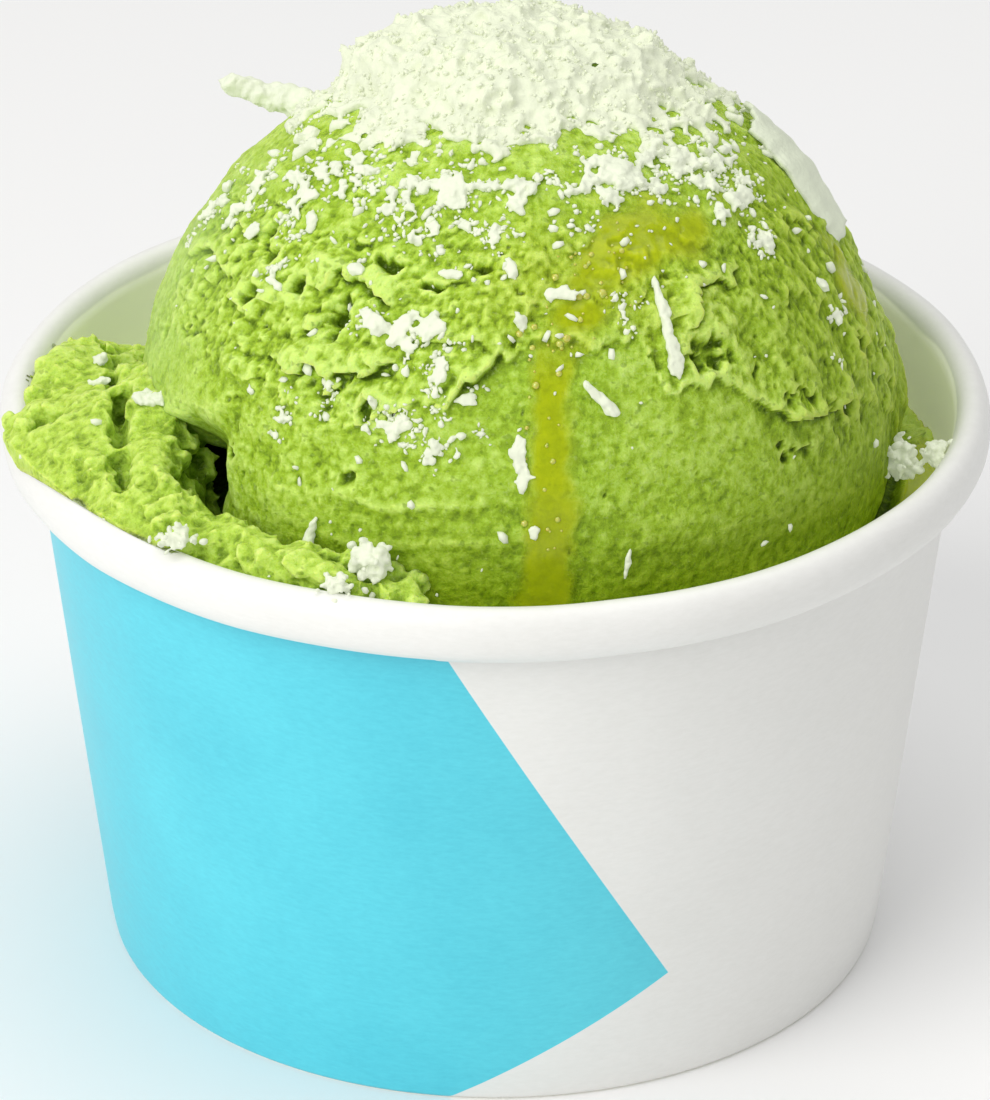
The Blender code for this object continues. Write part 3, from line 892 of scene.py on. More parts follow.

# %% [markdown]
# ### Gelato
#
# Gelato is dense, moist and finely grained: light goes a millimetre or so into it. Its hollows get
# painted shade, a deep yellow green, and its torn crests painted light, a pale green. Ground nut shows as
# tiny light and dark specks.
# One group gives the grain, and each gelato piece mixes it with its own relief.

# %% Nut grain, a group for every gelato surface
grain_group, given, result = new_group(
    "nut grain",
    [("Vector", "NodeSocketVector", None), ("Coarseness", "NodeSocketFloat", 1.0)],
    [
        ("Patches", "NodeSocketFloat"),
        ("Mottle", "NodeSocketFloat"),
        ("Light Specks", "NodeSocketFloat"),
        ("Dark Specks", "NodeSocketFloat"),
        ("Height", "NodeSocketFloat"),
    ],
)
vector = given.outputs["Vector"]
patches = noise_value(grain_group, vector, 130.0, 3.0, 0.55)
mottle = noise_value(grain_group, vector, 1100.0, 4.0, 0.7)
fine = noise_value(grain_group, vector, 1900.0, 3.0, 0.6)
turned = stretched(grain_group, vector, (1.0, 1.1, 1.2))
other = noise_value(grain_group, turned, 1250.0, 1.0, 0.5)
grain_group.links.new(patches, result.inputs["Patches"])
grain_group.links.new(mottle, result.inputs["Mottle"])
grain_group.links.new(number_map(grain_group, fine, 0.58, 0.72), result.inputs["Light Specks"])
grain_group.links.new(number_map(grain_group, other, 0.37, 0.29), result.inputs["Dark Specks"])
crumb = add_node(grain_group, "ShaderNodeTexVoronoi", {"Vector": vector, "Scale": 1300.0})
crumb.feature = "SMOOTH_F1"
rounded = calculate(grain_group, "MULTIPLY", crumb.outputs["Distance"], -0.45)
total = calculate(grain_group, "MULTIPLY_ADD", fine, 0.4, calculate(grain_group, "ADD", mottle, rounded))
coarse = calculate(grain_group, "MULTIPLY", total, given.outputs["Coarseness"])
grain_group.links.new(coarse, result.inputs["Height"])


# %% Gelato material
def gelato_material(name, hollow, body, lit_crest, coarseness):
    """Colours run from painted shade in hollows through the body to painted light on crests, by the
    stored relief. Oil tints and glosses.
    """
    material, tree, shader = new_material(
        name,
        Roughness=0.5,
        Subsurface_Weight=0.8,
        Subsurface_Radius=(1.0, 0.9, 0.35),
        Subsurface_Scale=0.9 * MM,
        Specular_IOR_Level=0.15,
        Coat_Roughness=0.07,
        Coat_IOR=1.33,
    )
    place = add_node(tree, "ShaderNodeTexCoord").outputs["Object"]
    grain = add_node(tree, "ShaderNodeGroup", node_tree=grain_group)
    tree.links.new(place, grain.inputs["Vector"])
    grain.inputs["Coarseness"].default_value = coarseness
    oil = read_attribute(tree, "oil")
    fine_relief = read_attribute(tree, "relief_fine")
    broad_relief = calculate(tree, "MULTIPLY", read_attribute(tree, "relief_broad"), 0.55)
    level = calculate(tree, "MULTIPLY_ADD", fine_relief, 0.45, broad_relief)
    for output, size in (("Patches", 0.18), ("Mottle", 0.42)):
        change = number_map(tree, grain.outputs[output], 0.3, 0.7, -size, size)
        level = calculate(tree, "ADD", level, change)
    # Painted shade darkens the hollows and painted light brightens the crests, by the stored relief
    low = mix_colours(tree, number_map(tree, level, -0.95, 0.0), hollow, body)
    colour = mix_colours(tree, number_map(tree, level, -0.05, 0.75), low, lit_crest)
    light = calculate(tree, "MULTIPLY", grain.outputs["Light Specks"], 0.3)
    colour = mix_colours(tree, light, colour, (0.62, 0.75, 0.3, 1.0))
    dark = calculate(tree, "MULTIPLY", grain.outputs["Dark Specks"], 0.42)
    colour = mix_colours(tree, dark, colour, (0.1, 0.2, 0.01, 1.0))
    # Painted light: the left flank, which faces the window, is paler
    pale = calculate(tree, "MULTIPLY", read_attribute(tree, "pale"), 0.5)
    colour = mix_colours(tree, pale, colour, (0.44, 0.66, 0.2, 1.0))
    # Painted shade: the low front, the right side and the trough are darkened and yellowed
    shade_darkened = mix_colours(tree, 1.0, colour, (0.68, 0.69, 0.16, 1.0), "MULTIPLY")
    colour = mix_colours(tree, read_attribute(tree, "painted_shade"), colour, shade_darkened)
    oiled = mix_colours(tree, 1.0, colour, (0.93, 0.80, 0.02, 1.0), "MULTIPLY")
    oiled = mix_colours(tree, 0.55, oiled, (0.42, 0.50, 0.002, 1.0))
    colour = mix_colours(tree, oil, colour, oiled)
    tree.links.new(colour, shader.inputs["Base Color"])
    dry = number_map(tree, grain.outputs["Patches"], 0.3, 0.7, 0.42, 0.6)
    wet = calculate(tree, "MULTIPLY_ADD", oil, -0.32, dry)
    tree.links.new(wet, shader.inputs["Roughness"])
    tree.links.new(number_map(tree, oil, 0.15, 1.0, 0.0, 0.45), shader.inputs["Coat Weight"])
    dull = number_map(tree, oil, 0.3, 1.0, 1.0, 0.15)
    height = calculate(tree, "MULTIPLY", grain.outputs["Height"], dull)
    relief = add_node(tree, "ShaderNodeBump", {"Height": height, "Distance": 0.4 * MM, "Strength": 1.0})
    tree.links.new(relief.outputs["Normal"], shader.inputs["Normal"])
    return material


# Its darkest colour is painted shade for hollows and its palest painted light for crests
pistachio = gelato_material(
    "pistachio gelato",
    (0.08, 0.15, 0.001, 1.0),
    (0.37, 0.56, 0.035, 1.0),
    (0.62, 0.82, 0.2, 1.0),
    1.0,
)
scoop = finish_piece("scoop", bm, pistachio, ["gelato_scoop"])
store_relief(scoop, "relief_fine", 5, 0.12 * MM)
store_relief(scoop, "relief_broad", 45, 0.6 * MM)

# %% [markdown]
# ## Crumbs and chips
#
# Crumbs of gelato and grains of topping are the same kind of thing: hundreds of small uneven
# chips. One chip is an icosphere. It is duplicated, each time doubling the number, until there
# are enough, and then every copy gets its own place, size, turn and dents from arrays.


# %% Many chips from one
def any_way(count):
    """Unit vectors pointing every way."""
    ways = dice.normal(size=(count, 3))
    return ways / np.linalg.norm(ways, axis=1)[:, None]


def uneven(radii, *ranges):
    """Sizes along three axes for each radius, each from its own range."""
    return np.stack([radii * dice.uniform(low, high, len(radii)) for low, high in ranges], 1)


def chips(spots, sizes, up, side=None, detail=1, dent=0.35, cuts=4, flat=0.0):
    """A bmesh of uneven chips. Sizes are half length, width and thickness in millimetres.

    The length lies along side and the thickness along up. Flat cuts trim only the outline.
    """
    spots, sizes, up = (np.asarray(values, float) for values in (spots, sizes, up))
    bm = bmesh.new()
    bmesh.ops.create_icosphere(bm, subdivisions=detail, radius=1.0)
    shape = np.array([vert.co for vert in bm.verts])
    corners, count = len(shape), len(spots)
    while len(bm.verts) < count * corners:
        bmesh.ops.duplicate(bm, geom=bm.verts[:] + bm.edges[:] + bm.faces[:])
    bmesh.ops.delete(bm, geom=bm.verts[count * corners :], context="VERTS")
    local = np.repeat(shape[None], count, 0)
    for _ in range(cuts):
        # A cut presses everything beyond a plane flat against it
        way = any_way(count) * (1, 1, 1 - flat)
        way = (way / np.linalg.norm(way, axis=1)[:, None])[:, None]
        beyond = (local * way).sum(2) - dice.uniform(0.45, 0.9, (count, 1))
        local = local - np.maximum(beyond, 0)[..., None] * way
    offsets = dice.uniform(0, 90, (count, 1, 3))
    coarse = (local + offsets).reshape(-1, 3)
    dents = 1 + dent * (wander(coarse, 0.9, 5) + 0.5 * wander(coarse, 0.45, 6))
    local = local * dents.reshape(count, corners, 1) * sizes[:, None]
    if side is None:
        side = any_way(count)
    side = np.cross(np.cross(up, side), up)
    side /= np.linalg.norm(side, axis=1)[:, None]
    turns = np.stack([side, np.cross(up, side), up], 2)
    final = spots[:, None] + np.einsum("nij,nkj->nki", turns, local)
    move_to(bm, final.reshape(-1, 3))
    return bm


def joined(*meshes):
    """Several bmeshes as one."""
    whole = bmesh.new()
    for bm in meshes:
        mesh = bpy.data.meshes.new("joining")
        bm.to_mesh(mesh)
        bm.free()
        whole.from_mesh(mesh)
        bpy.data.meshes.remove(mesh)
    return whole


def merged_copy(node):
    """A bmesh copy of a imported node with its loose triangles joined."""
    bm = bmesh.new()
    bm.from_mesh(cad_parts[node].data)
    bmesh.ops.remove_doubles(bm, verts=bm.verts, dist=0.01 * MM)
    return bm


def scatter_over(bm, count):
    """Random points on a bmesh's faces, spread by area, each with its face's normal."""
    faces = list(bm.faces)
    areas = np.array([face.calc_area() for face in faces])
    spots, ways = [], []
    for pick in dice.choice(len(faces), count, p=areas / areas.sum()):
        face = faces[pick]
        shares = dice.dirichlet([1.0] * len(face.verts))
        corners = np.array([vert.co for vert in face.verts]) / MM
        spots.append(shares @ corners)
        ways.append(face.normal[:])
    return np.array(spots), np.array(ways)


def fused(bm, voxel):
    """One closed skin round everything in a bmesh. The voxel is in millimetres."""
    mesh = bpy.data.meshes.new("fusing")
    bm.to_mesh(mesh)
    bm.free()
    holder = bpy.data.objects.new("fusing", mesh)
    bpy.context.scene.collection.objects.link(holder)
    remesh = holder.modifiers.new("remesh", "REMESH")
    remesh.mode = "VOXEL"
    remesh.voxel_size = voxel * MM
    seen = holder.evaluated_get(bpy.context.evaluated_depsgraph_get())
    skin = bmesh.new()
    skin.from_mesh(seen.to_mesh())
    seen.to_mesh_clear()
    bpy.data.objects.remove(holder)
    bpy.data.meshes.remove(mesh)
    return skin


# %% [markdown]
# ## The ragged lump
#
# A lump was pushed against the rim. It broke rather than smeared, so it is crumbly all over,
# with deep cracks and a ragged edge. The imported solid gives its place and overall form. Crumbs
# are set into its surface, the whole is fused into one skin by a voxel remesh, and lobes,
# cracks and holes are then pressed into that skin.

# %% The lump's form
# Its lobes: middle, then half sizes across, along and up
lump_lobes = [
    (-39.0, -2.0, 55.0, 3.2, 5.6, 2.9),
    (-40.6, -12.5, 54.6, 3.4, 6.0, 2.5),
    (-37.6, -19.0, 54.4, 4.2, 6.0, 2.7),
    (-33.0, -25.0, 54.2, 4.4, 5.0, 2.6),
    (-28.6, -30.0, 53.6, 3.8, 3.8, 2.2),
    (-30.0, -10.5, 56.2, 4.2, 6.0, 3.3),
    (-30.2, -19.0, 54.6, 3.4, 7.0, 3.1),
    (-28.4, -6.0, 56.2, 3.4, 4.8, 3.8),
    (-27.2, -7.0, 57.2, 2.6, 4.4, 3.2),
    (-27.8, -18.5, 51.4, 1.6, 6.0, 3.0),
]
# Its back line gives y for each x, and its inner line gives x for each y
back_line = [-43.0, -39.5, -36.5, -34.6, -33.4, -27.5, -23.0], [-7.0, 1.5, 4.0, -2.0, -4.6, -3.0, -2.0]
inner_line = [-37.0, -30.0, -23.5, -15.7, -9.0, -3.5], [-26.6, -28.7, -28.4, -27.5, -26.2, -24.3]
# Pits and cracks: a start and an end in x and y, half width, depth
cracks = [
    ((-33.3, -11.0), (-33.0, -17.5), 0.7, 3.6),
    ((-32.9, -19.5), (-32.5, -24.5), 0.8, 3.2),
    ((-40.6, -11.6), (-40.0, -12.4), 0.9, 2.6),
    ((-34.8, -3.0), (-34.0, -9.0), 0.6, 2.0),
    ((-36.6, -20.0), (-36.0, -22.5), 0.4, 1.2),
]


def crack_depth(point):
    """How far the lump's top is sunk at each place."""
    depth = np.zeros(len(point))
    for start, end, half_width, deep in cracks:
        step = np.subtract(end, start)
        share = np.clip((point[:, :2] - start) @ step / (step @ step), 0, 1)
        gap = np.linalg.norm(point[:, :2] - start - share[:, None] * step, axis=1)
        gap = gap / half_width + 0.6 * wander(point * (1, 1, 0), 1.5, 106)
        depth = np.maximum(depth, deep * (1 - smoothstep(0.4, 1.5, gap)))
    return depth


def above_bead(point):
    """The lowest a thing can lie at each place without passing into the cup's bead."""
    across = (np.hypot(point[:, 0], point[:, 1]) - rim_radius + bead_width / 2) / (bead_width / 2 + 0.05)
    rise = np.sqrt(np.clip(1 - across**2, 0, 1)) * bead_height / 2
    return np.where(np.abs(across) < 1, cup_height - bead_height / 2 + rise + 0.03, 0.0)


def overhang(point):
    """How far out from the cup's axis the lump may lean over the bead."""
    turn = np.degrees(np.arctan2(point[:, 0], -point[:, 1]))
    return 43.3 + 2.1 * bump(turn, -84, 34)


middles = np.array(lump_lobes)
ways = np.tile((0.0, 0.0, 1.0), (len(middles), 1))
sides = np.tile((1.0, 0.0, 0.0), (len(middles), 1))
lobe_bm = chips(middles[:, :3], middles[:, 3:], ways, sides, detail=4, dent=0.08, cuts=0)
bm = fused(joined(merged_copy("gelato_lump"), lobe_bm), 0.5)
point = places(bm)
x, y, z = point.T
out = np.hypot(x, y)
tooth = 0.6 * wander(point * (1, 1, 0.3), 2.0, 98) + 0.35 * wander(point * (1, 1, 0.3), 0.9, 97)
past_back = smoothstep(-0.5, 2.0, y - np.interp(x, *back_line) + 2 * tooth)
edge = x - np.interp(y, *inner_line) + tooth
past_inner = smoothstep(-0.5, 0.9, edge) * (1 - smoothstep(35.5, 37, out))
low = np.where(edge < 1.9, 53.2 + 1.5 * tooth, 47.0)
point[:, 2] = z + (np.minimum(z, low) - z) * np.maximum(past_back, past_inner)
point[:, 2] -= crack_depth(point) * smoothstep(51, 54, z)
# It rounds down towards the edge that leans over the bead
near_edge = smoothstep(-3.0, 0.4, out - overhang(point))
point[:, 2] -= 0.8 * near_edge * np.maximum(point[:, 2] - 53.8, 0)
move_to(bm, point)

# %% Set crumbs into it and fuse it
spots, ways = scatter_over(bm, 1500)
keep = (spots[:, 2] > 47) & (ways[:, 2] > -0.6) & (crack_depth(spots) < 0.8)
spots, ways = spots[keep], ways[keep]
radii = 0.45 + 0.8 * dice.random(len(spots)) ** 2.5
ragged = (np.abs(spots[:, 0] - np.interp(spots[:, 1], *inner_line)) < 1.5) | (ways[:, 2] < 0.5)
lift = np.where(ragged, 0.15, -0.82)
spots = spots + ways * (radii * lift * dice.uniform(0.5, 1.3, len(spots)))[:, None]
# The skirt of bigger crumbs along the front of the trough
turn = np.radians(dice.uniform(-47, -10, 280))
out = dice.uniform(36.8, 40.6, 280)
skirt_top = 54.6 - 1.6 * smoothstep(-22, -10, np.degrees(turn))
skirt = np.stack([np.sin(turn) * out, -np.cos(turn) * out, skirt_top - 3.5 * dice.random(280) ** 1.5], 1)
spots = np.concatenate([spots, skirt])
radii = np.concatenate([radii, dice.uniform(0.5, 1.3, 280)])
out = np.hypot(spots[:, 0], spots[:, 1])
furthest = overhang(spots)
over_bead = (spots[:, 2] - 0.7 * radii > above_bead(spots)) & (out + 0.8 * radii < furthest)
clear = np.where(out + radii < 41.4, out + radii < wall_radius(spots[:, 2]) - 0.3, over_bead)
spots, radii = spots[clear], radii[clear]
sizes = uneven(radii, (0.8, 1.3), (0.8, 1.3), (0.8, 1.3))
bm = fused(joined(bm, chips(spots, sizes, any_way(len(spots)), detail=2, cuts=5)), 0.28)

# %% Its fine relief
point, way = places(bm), normals(bm)
height = 0.25 * wander(point, 5.0, 99) + 0.1 * lobes(point, 3.0, 100) + 0.55 * granular(point, 101)
height -= 0.4 * holes(point, 3.4, 0.1, 0.5, 104) + 0.25 * holes(point, 1.5, 0.1, 0.35, 105)
point = point + way * (height - 0.1)[:, None]
# Nothing passes through the cup
out = np.hypot(point[:, 0], point[:, 1])
at_wall = point[:, 2] < cup_height - bead_height / 2
inner_wall = np.minimum(wall_radius(point[:, 2]) - paper / 2 - 0.1, 41.4)
limit = np.where(at_wall, inner_wall, overhang(point) + 0.2)
point[:, :2] *= np.minimum(limit / out, 1)[:, None]
point[:, 2] = np.where(at_wall, point[:, 2], np.maximum(point[:, 2], above_bead(point)))
move_to(bm, point)
# Its darkest colour is painted shade for the lump's hollows and its palest painted light for its crests
crumbly = gelato_material(
    "crumbly gelato",
    (0.10, 0.19, 0.002, 1.0),
    (0.47, 0.67, 0.08, 1.0),
    (0.68, 0.86, 0.22, 1.0),
    1.1,
)
lump_tree = BVHTree.FromBMesh(bm)
lump = finish_piece("broken_lump", bm, crumbly, ["gelato_lump"])
store_relief(lump, "relief_fine", 5, 0.15 * MM)
store_relief(lump, "relief_broad", 40, 0.8 * MM)

# %% [markdown]
# ## Grated topping
#
# The topping was grated very finely over the scoop. On the crown it lies a few millimetres
# deep and its grains have begun to stick together, so its core is a fused mass of chips. Below
# that it thins out to clusters, flakes and single crumbs that cling where they landed.


# %% Topping material
def topping_material(name, tint, glow):
    """Pale and matt. The glow stands for light that has wandered through many grains."""
    material, tree, shader = new_material(
        name,
        Roughness=0.55,
        Specular_IOR_Level=0.3,
        Emission_Color=(0.95, 1.0, 0.84, 1.0),
        Emission_Strength=glow,
    )
    place = add_node(tree, "ShaderNodeTexCoord").outputs["Object"]
    cloudy = noise_value(tree, place, 500.0, 3.0)
    shade = tuple(0.9 * c for c in tint[:3]) + (1.0,)
    colour = mix_colours(tree, number_map(tree, cloudy, 0.35, 0.65), shade, tint)
    tree.links.new(colour, shader.inputs["Base Color"])
    tree.links.new(number_map(tree, cloudy, 0.3, 0.7, 0.42, 0.68), shader.inputs["Roughness"])
    fine = noise_value(tree, place, 2000.0, 3.0)
    relief = add_node(tree, "ShaderNodeBump", {"Height": fine, "Distance": 0.16 * MM, "Strength": 0.8})
    tree.links.new(relief.outputs["Normal"], shader.inputs["Normal"])
    return material


grated = topping_material("grated topping", (0.67, 0.71, 0.55, 1.0), 0.17)
heaped = topping_material("heaped topping", (0.67, 0.71, 0.53, 1.0), 0.16)

# %% Heap core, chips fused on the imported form
heap_lean = math.radians(12)
heap_axis = np.array([0.0, math.sin(heap_lean), math.cos(heap_lean)])


def heap_away(point):
    """Angle from the heap's middle, in degrees, with an uneven share of the noise in it."""
    unit = point - scoop_centre
    unit /= np.linalg.norm(unit, axis=1)[:, None]
    away = np.degrees(np.arccos(np.clip(unit @ heap_axis, -1, 1)))
    return away + 3.4 * wander(point, 5.0, 113) + 2.6 * wander(point, 2.2, 114), unit


def heap_places(count):
    """Azimuths and elevations spread over the heap, with an uneven edge."""
    turn = dice.uniform(-math.pi, math.pi, count)
    around = np.stack([np.sin(turn), np.cos(turn), 0 * turn + 0.6], 1)
    reach = 36.5 * (1 + 0.16 * wander(around, 0.7, 120) + 0.1 * wander(around, 0.16, 121))
    away = np.arccos(1 - dice.random(count) ** 0.8 * (1 - np.cos(np.radians(reach))))
    x, y, z = np.sin(away) * np.sin(turn), -np.sin(away) * np.cos(turn), np.cos(away)
    cos, sin = math.cos(heap_lean), math.sin(heap_lean)
    y, z = y * cos + z * sin, z * cos - y * sin
    return np.degrees(np.arctan2(x, -y)), np.degrees(np.arcsin(z))


bm = merged_copy("grated_heap")
bmesh.ops.subdivide_edges(bm, edges=bm.edges[:], cuts=2, use_grid_fill=True)
point, way = places(bm), normals(bm)
away, unit = heap_away(point)
height = 0.55 * wander(point, 4.2, 110) - 0.9 * bump(point[:, 0], 9, 10) - 0.5
sink = 3.6 * smoothstep(21, 33, away)
move_to(bm, point + way * height[:, None] - unit * sink[:, None])
core_tree = BVHTree.FromBMesh(bm)
core_bm = bm

# %% Where things land
def land(trees, azimuths, elevations):
    """Where chips falling towards the scoop's centre first land, and the normals there."""
    spots, ways = [], []
    for unit in direction(np.asarray(azimuths, float), np.asarray(elevations, float)):
        origin = Vector((scoop_centre + unit * (scoop_radius + 30)) * MM)
        best = None
        for tree in trees:
            hit, normal, _, distance = tree.ray_cast(origin, Vector(-unit))
            if hit is not None and (best is None or distance < best[2]):
                best = (hit, normal, distance)
        if best is not None:
            spots.append(best[0][:])
            ways.append(best[1][:])
    return np.array(spots) / MM, np.array(ways)


def tilted(ways, amount):
    """Directions turned a little at random."""
    mixed = ways + dice.normal(size=ways.shape) * amount
    return mixed / np.linalg.norm(mixed, axis=1)[:, None]


# %% Heap grains, fused with the core
def grain_spots(count, low, high, layer, *trees):
    """Places, normals and sizes of grains lying on the heap."""
    spots, ways = land(trees, *heap_places(count))
    # Gaps open between the grains towards the heap's edge
    gap = wander(spots, 1.4, 122) + 0.5 * wander(spots, 0.7, 123)
    lying = gap > 1.25 * smoothstep(23, 38, heap_away(spots)[0]) - 0.95
    spots, ways = spots[lying], ways[lying]
    radii = low + (high - low) * dice.random(len(spots)) ** 1.5
    spots = spots + ways * ((dice.random(len(spots)) ** 2 * layer - 0.2) * radii)[:, None]
    below = spots[:, 2] < 89.4
    return spots[below], ways[below], radii[below]


spots, ways, radii = grain_spots(5200, 0.3, 0.85, 1.0, scoop_tree, core_tree)
sizes = uneven(radii, (0.8, 1.4), (0.6, 1.1), (0.5, 0.9))
bm = fused(joined(core_bm, chips(spots, sizes, any_way(len(spots)))), 0.28)
point, way = places(bm), normals(bm)
move_to(bm, point + way * (0.1 * wander(point, 0.6, 111) - 0.05)[:, None])
heap_tree = BVHTree.FromBMesh(bm)
finish_piece("heap_core", bm, heaped, ["grated_heap"])
spots, ways, radii = grain_spots(2600, 0.14, 0.3, 1.2, scoop_tree, heap_tree)
sizes = uneven(radii, (0.8, 1.5), (0.6, 1.2), (0.5, 0.9))
finish_piece("heap_grains", chips(spots, sizes, any_way(len(spots))), heaped)

# %% Clusters that cling together
# Clusters: azimuth, elevation, spread across and up in millimetres, count, smallest and largest
clusters = [
    (-50, 57, 3.6, 1.8, 60, 0.3, 0.75),
    (-22, 60, 3.0, 1.6, 60, 0.3, 0.7),
    (-2, 60, 3.6, 1.6, 60, 0.3, 0.7),
    (27, 60, 2.6, 2.6, 110, 0.35, 0.8),
    (46, 60, 3.4, 1.8, 90, 0.3, 0.75),
    (58, 52, 3.0, 2.6, 90, 0.3, 0.8),
    (68, 55, 2.6, 2.2, 50, 0.3, 0.7),
    (-62, 52, 1.6, 2.2, 50, 0.3, 0.75),
    (-78, 45, 1.6, 3.0, 60, 0.3, 0.7),
    (-88, 37, 1.2, 2.2, 40, 0.25, 0.6),
    (-28, 37, 1.4, 1.0, 14, 0.3, 0.7),
    (-19, 37, 2.0, 1.4, 34, 0.2, 0.6),
    (-14, 31, 1.8, 2.0, 36, 0.2, 0.6),
    (-20, 24, 1.8, 1.6, 34, 0.25, 0.6),
    (-13, 21, 2.0, 1.2, 26, 0.25, 0.6),
    (-24, 52, 1.8, 1.4, 30, 0.25, 0.6),
    (-35, 55, 2.0, 1.4, 30, 0.25, 0.6),
    (-53, 39, 1.2, 2.4, 22, 0.25, 0.6),
    (-8, 53, 2.4, 1.4, 34, 0.25, 0.6),
    (57, 43, 1.0, 0.9, 20, 0.3, 0.6),
    (66, 27, 1.4, 1.8, 10, 0.3, 0.6),
    (20, 39, 1.2, 0.9, 12, 0.25, 0.55),
    (-40, 20, 0.6, 1.6, 12, 0.3, 0.55),
    (-33, 26, 1.2, 1.0, 12, 0.25, 0.5),
]


def ragged_clumps(count, across, up):
    """Offsets of grains in small ragged clumps, scattered round a middle."""
    grown = []
    while len(grown) < count:
        clump_spots = [dice.normal(size=2) * (across, up) * 0.62]
        for _ in range(int(9 * dice.random() ** 1.6)):
            parent = clump_spots[dice.integers(len(clump_spots))]
            turn = dice.uniform(0, 2 * math.pi)
            step = dice.uniform(0.4, 0.8)
            clump_spots.append(parent + (step * math.cos(turn), step * math.sin(turn)))
        grown += clump_spots
    return np.array(grown[:count])


spots, ways, radii = [], [], []
for azimuth, elevation, across, up, count, low, high in clusters:
    offsets = ragged_clumps(count, across, up)
    azimuths = azimuth + offsets[:, 0] / degree / math.cos(math.radians(elevation))
    landed, way = land((scoop_tree, lump_tree, heap_tree), azimuths, elevation + offsets[:, 1] / degree)
    size = 0.85 * (low + (high - low) * dice.random(len(landed)) ** 3)
    spots.append(landed + way * (size * 0.3 + 0.4 * dice.random(len(landed)) ** 3)[:, None])
    ways.append(way)
    radii.append(size)
spots, ways, radii = np.concatenate(spots), np.concatenate(ways), np.concatenate(radii)
sizes = uneven(radii, (0.8, 1.4), (0.6, 1.1), (0.5, 0.9))
clinging = [chips(spots, sizes, tilted(ways, 0.6), detail=2, cuts=5)]

# %% Flakes, with finer chips stuck along their edges
# Flakes: azimuth, elevation, half length, half width, half thickness, turn in degrees
flakes = [
    (-18, 59, 2.5, 1.6, 0.4, 80),
    (-35, 44, 1.1, 0.8, 0.35, 20),
    (-52, 48, 1.2, 0.7, 0.35, 110),
    (-66, 42, 1.2, 0.9, 0.35, 60),
    (-27, 37, 1.6, 0.9, 0.4, 150),
    (-22, 37, 2.2, 0.8, 0.35, 75),
    (-16, 38, 1.7, 1.2, 0.4, 30),
    (-13, 32, 1.2, 0.7, 0.35, 120),
    (-9, 28, 1.3, 0.5, 0.3, 10),
    (-20, 22, 1.0, 0.5, 0.3, 140),
    (-24, 26, 0.9, 0.5, 0.3, 70),
    (-14, 46, 1.3, 0.5, 0.3, 10),
    (-2, 47, 1.1, 0.6, 0.35, 100),
    (0, 39, 0.9, 0.85, 0.4, 0),
    (8, 43, 2.0, 0.7, 0.3, 5),
    (66, 32, 1.1, 0.8, 0.4, 10),
    (58, 42, 1.1, 0.9, 0.4, 40),
    (63, 50, 1.3, 1.1, 0.5, 0),
    (33, 62, 1.5, 1.3, 0.5, 0),
    (0, 20.5, 1.7, 0.8, 0.25, 95),
    (0.5, 16.5, 1.4, 0.7, 0.25, 65),
    (2, 9, 0.6, 0.6, 0.25, 0),
    (-48, 22, 0.6, 0.4, 0.25, 70),
]
azimuth, elevation, length, width, thickness, turn = np.array(flakes).T
spots, ways = land((scoop_tree, heap_tree), azimuth, elevation)
ways = tilted(ways, 0.1)
level = np.cross((0, 0, 1), ways)
level /= np.linalg.norm(level, axis=1)[:, None]
turn = np.radians(turn)[:, None]
side = level * np.cos(turn) + np.cross(ways, level) * np.sin(turn)
sizes = np.stack([length, width, thickness], 1)
spots = spots + ways * 0.45 * thickness[:, None]
clinging.append(chips(spots, sizes, ways, side, detail=4, dent=0.3, cuts=9, flat=0.93))
rim = 6
turn = dice.uniform(0, 2 * math.pi, (len(spots), rim, 1))
along = np.cos(turn) * side[:, None] * (length - 0.2)[:, None, None]
over = np.sin(turn) * np.cross(ways, side)[:, None] * (width - 0.1)[:, None, None]
edge_spots = (spots[:, None] + 0.9 * (along + over)).reshape(-1, 3)
edge_ways = np.repeat(ways, rim, 0)
sizes = uneven(0.18 + 0.22 * dice.random(len(edge_spots)) ** 2, (0.9, 1.7), (0.6, 1.1), (0.5, 0.8))
clinging.append(chips(edge_spots, sizes, tilted(edge_ways, 0.3), detail=2, cuts=5))
bm = fused(joined(*clinging), 0.17)
point, way = places(bm), normals(bm)
height = 0.09 * wander(point, 0.75, 125) + 0.07 * wander(point, 0.42, 126)
move_to(bm, point + way * height[:, None])
finish_piece("topping_clusters", bm, grated)

# %% Single crumbs
azimuths = dice.uniform(-100, 96, 1500)
elevations = dice.uniform(-6, 62, 1500)
chance = 0.05 + 0.75 * smoothstep(15, 62, elevations) + 0.3 * bump(azimuths, -25, 30)
picked = dice.random(1500) < chance * 0.55
azimuths, elevations = [azimuths[picked]], [elevations[picked]]
# Dust of the finest crumbs round every cluster
for azimuth, elevation, across, up, count, _, _ in clusters:
    offsets = ragged_clumps(int(0.9 * count) + 10, 1.5 * across, 1.5 * up)
    azimuths.append(azimuth + offsets[:, 0] / degree / math.cos(math.radians(elevation)))
    elevations.append(elevation + offsets[:, 1] / degree)
alone = len(azimuths[0])
azimuths, elevations = np.concatenate(azimuths), np.concatenate(elevations)
spots, ways = land((scoop_tree, lump_tree), azimuths, elevations)
radii = 0.14 + np.where(np.arange(len(spots)) < alone, 0.4, 0.2) * dice.random(len(spots)) ** 2.5
sizes = uneven(radii, (0.9, 1.8), (0.6, 1.2), (0.5, 0.9))
crumb_bm = chips(spots + ways * (0.3 * radii)[:, None], sizes, tilted(ways, 0.5))
finish_piece("topping_crumbs", crumb_bm, grated)

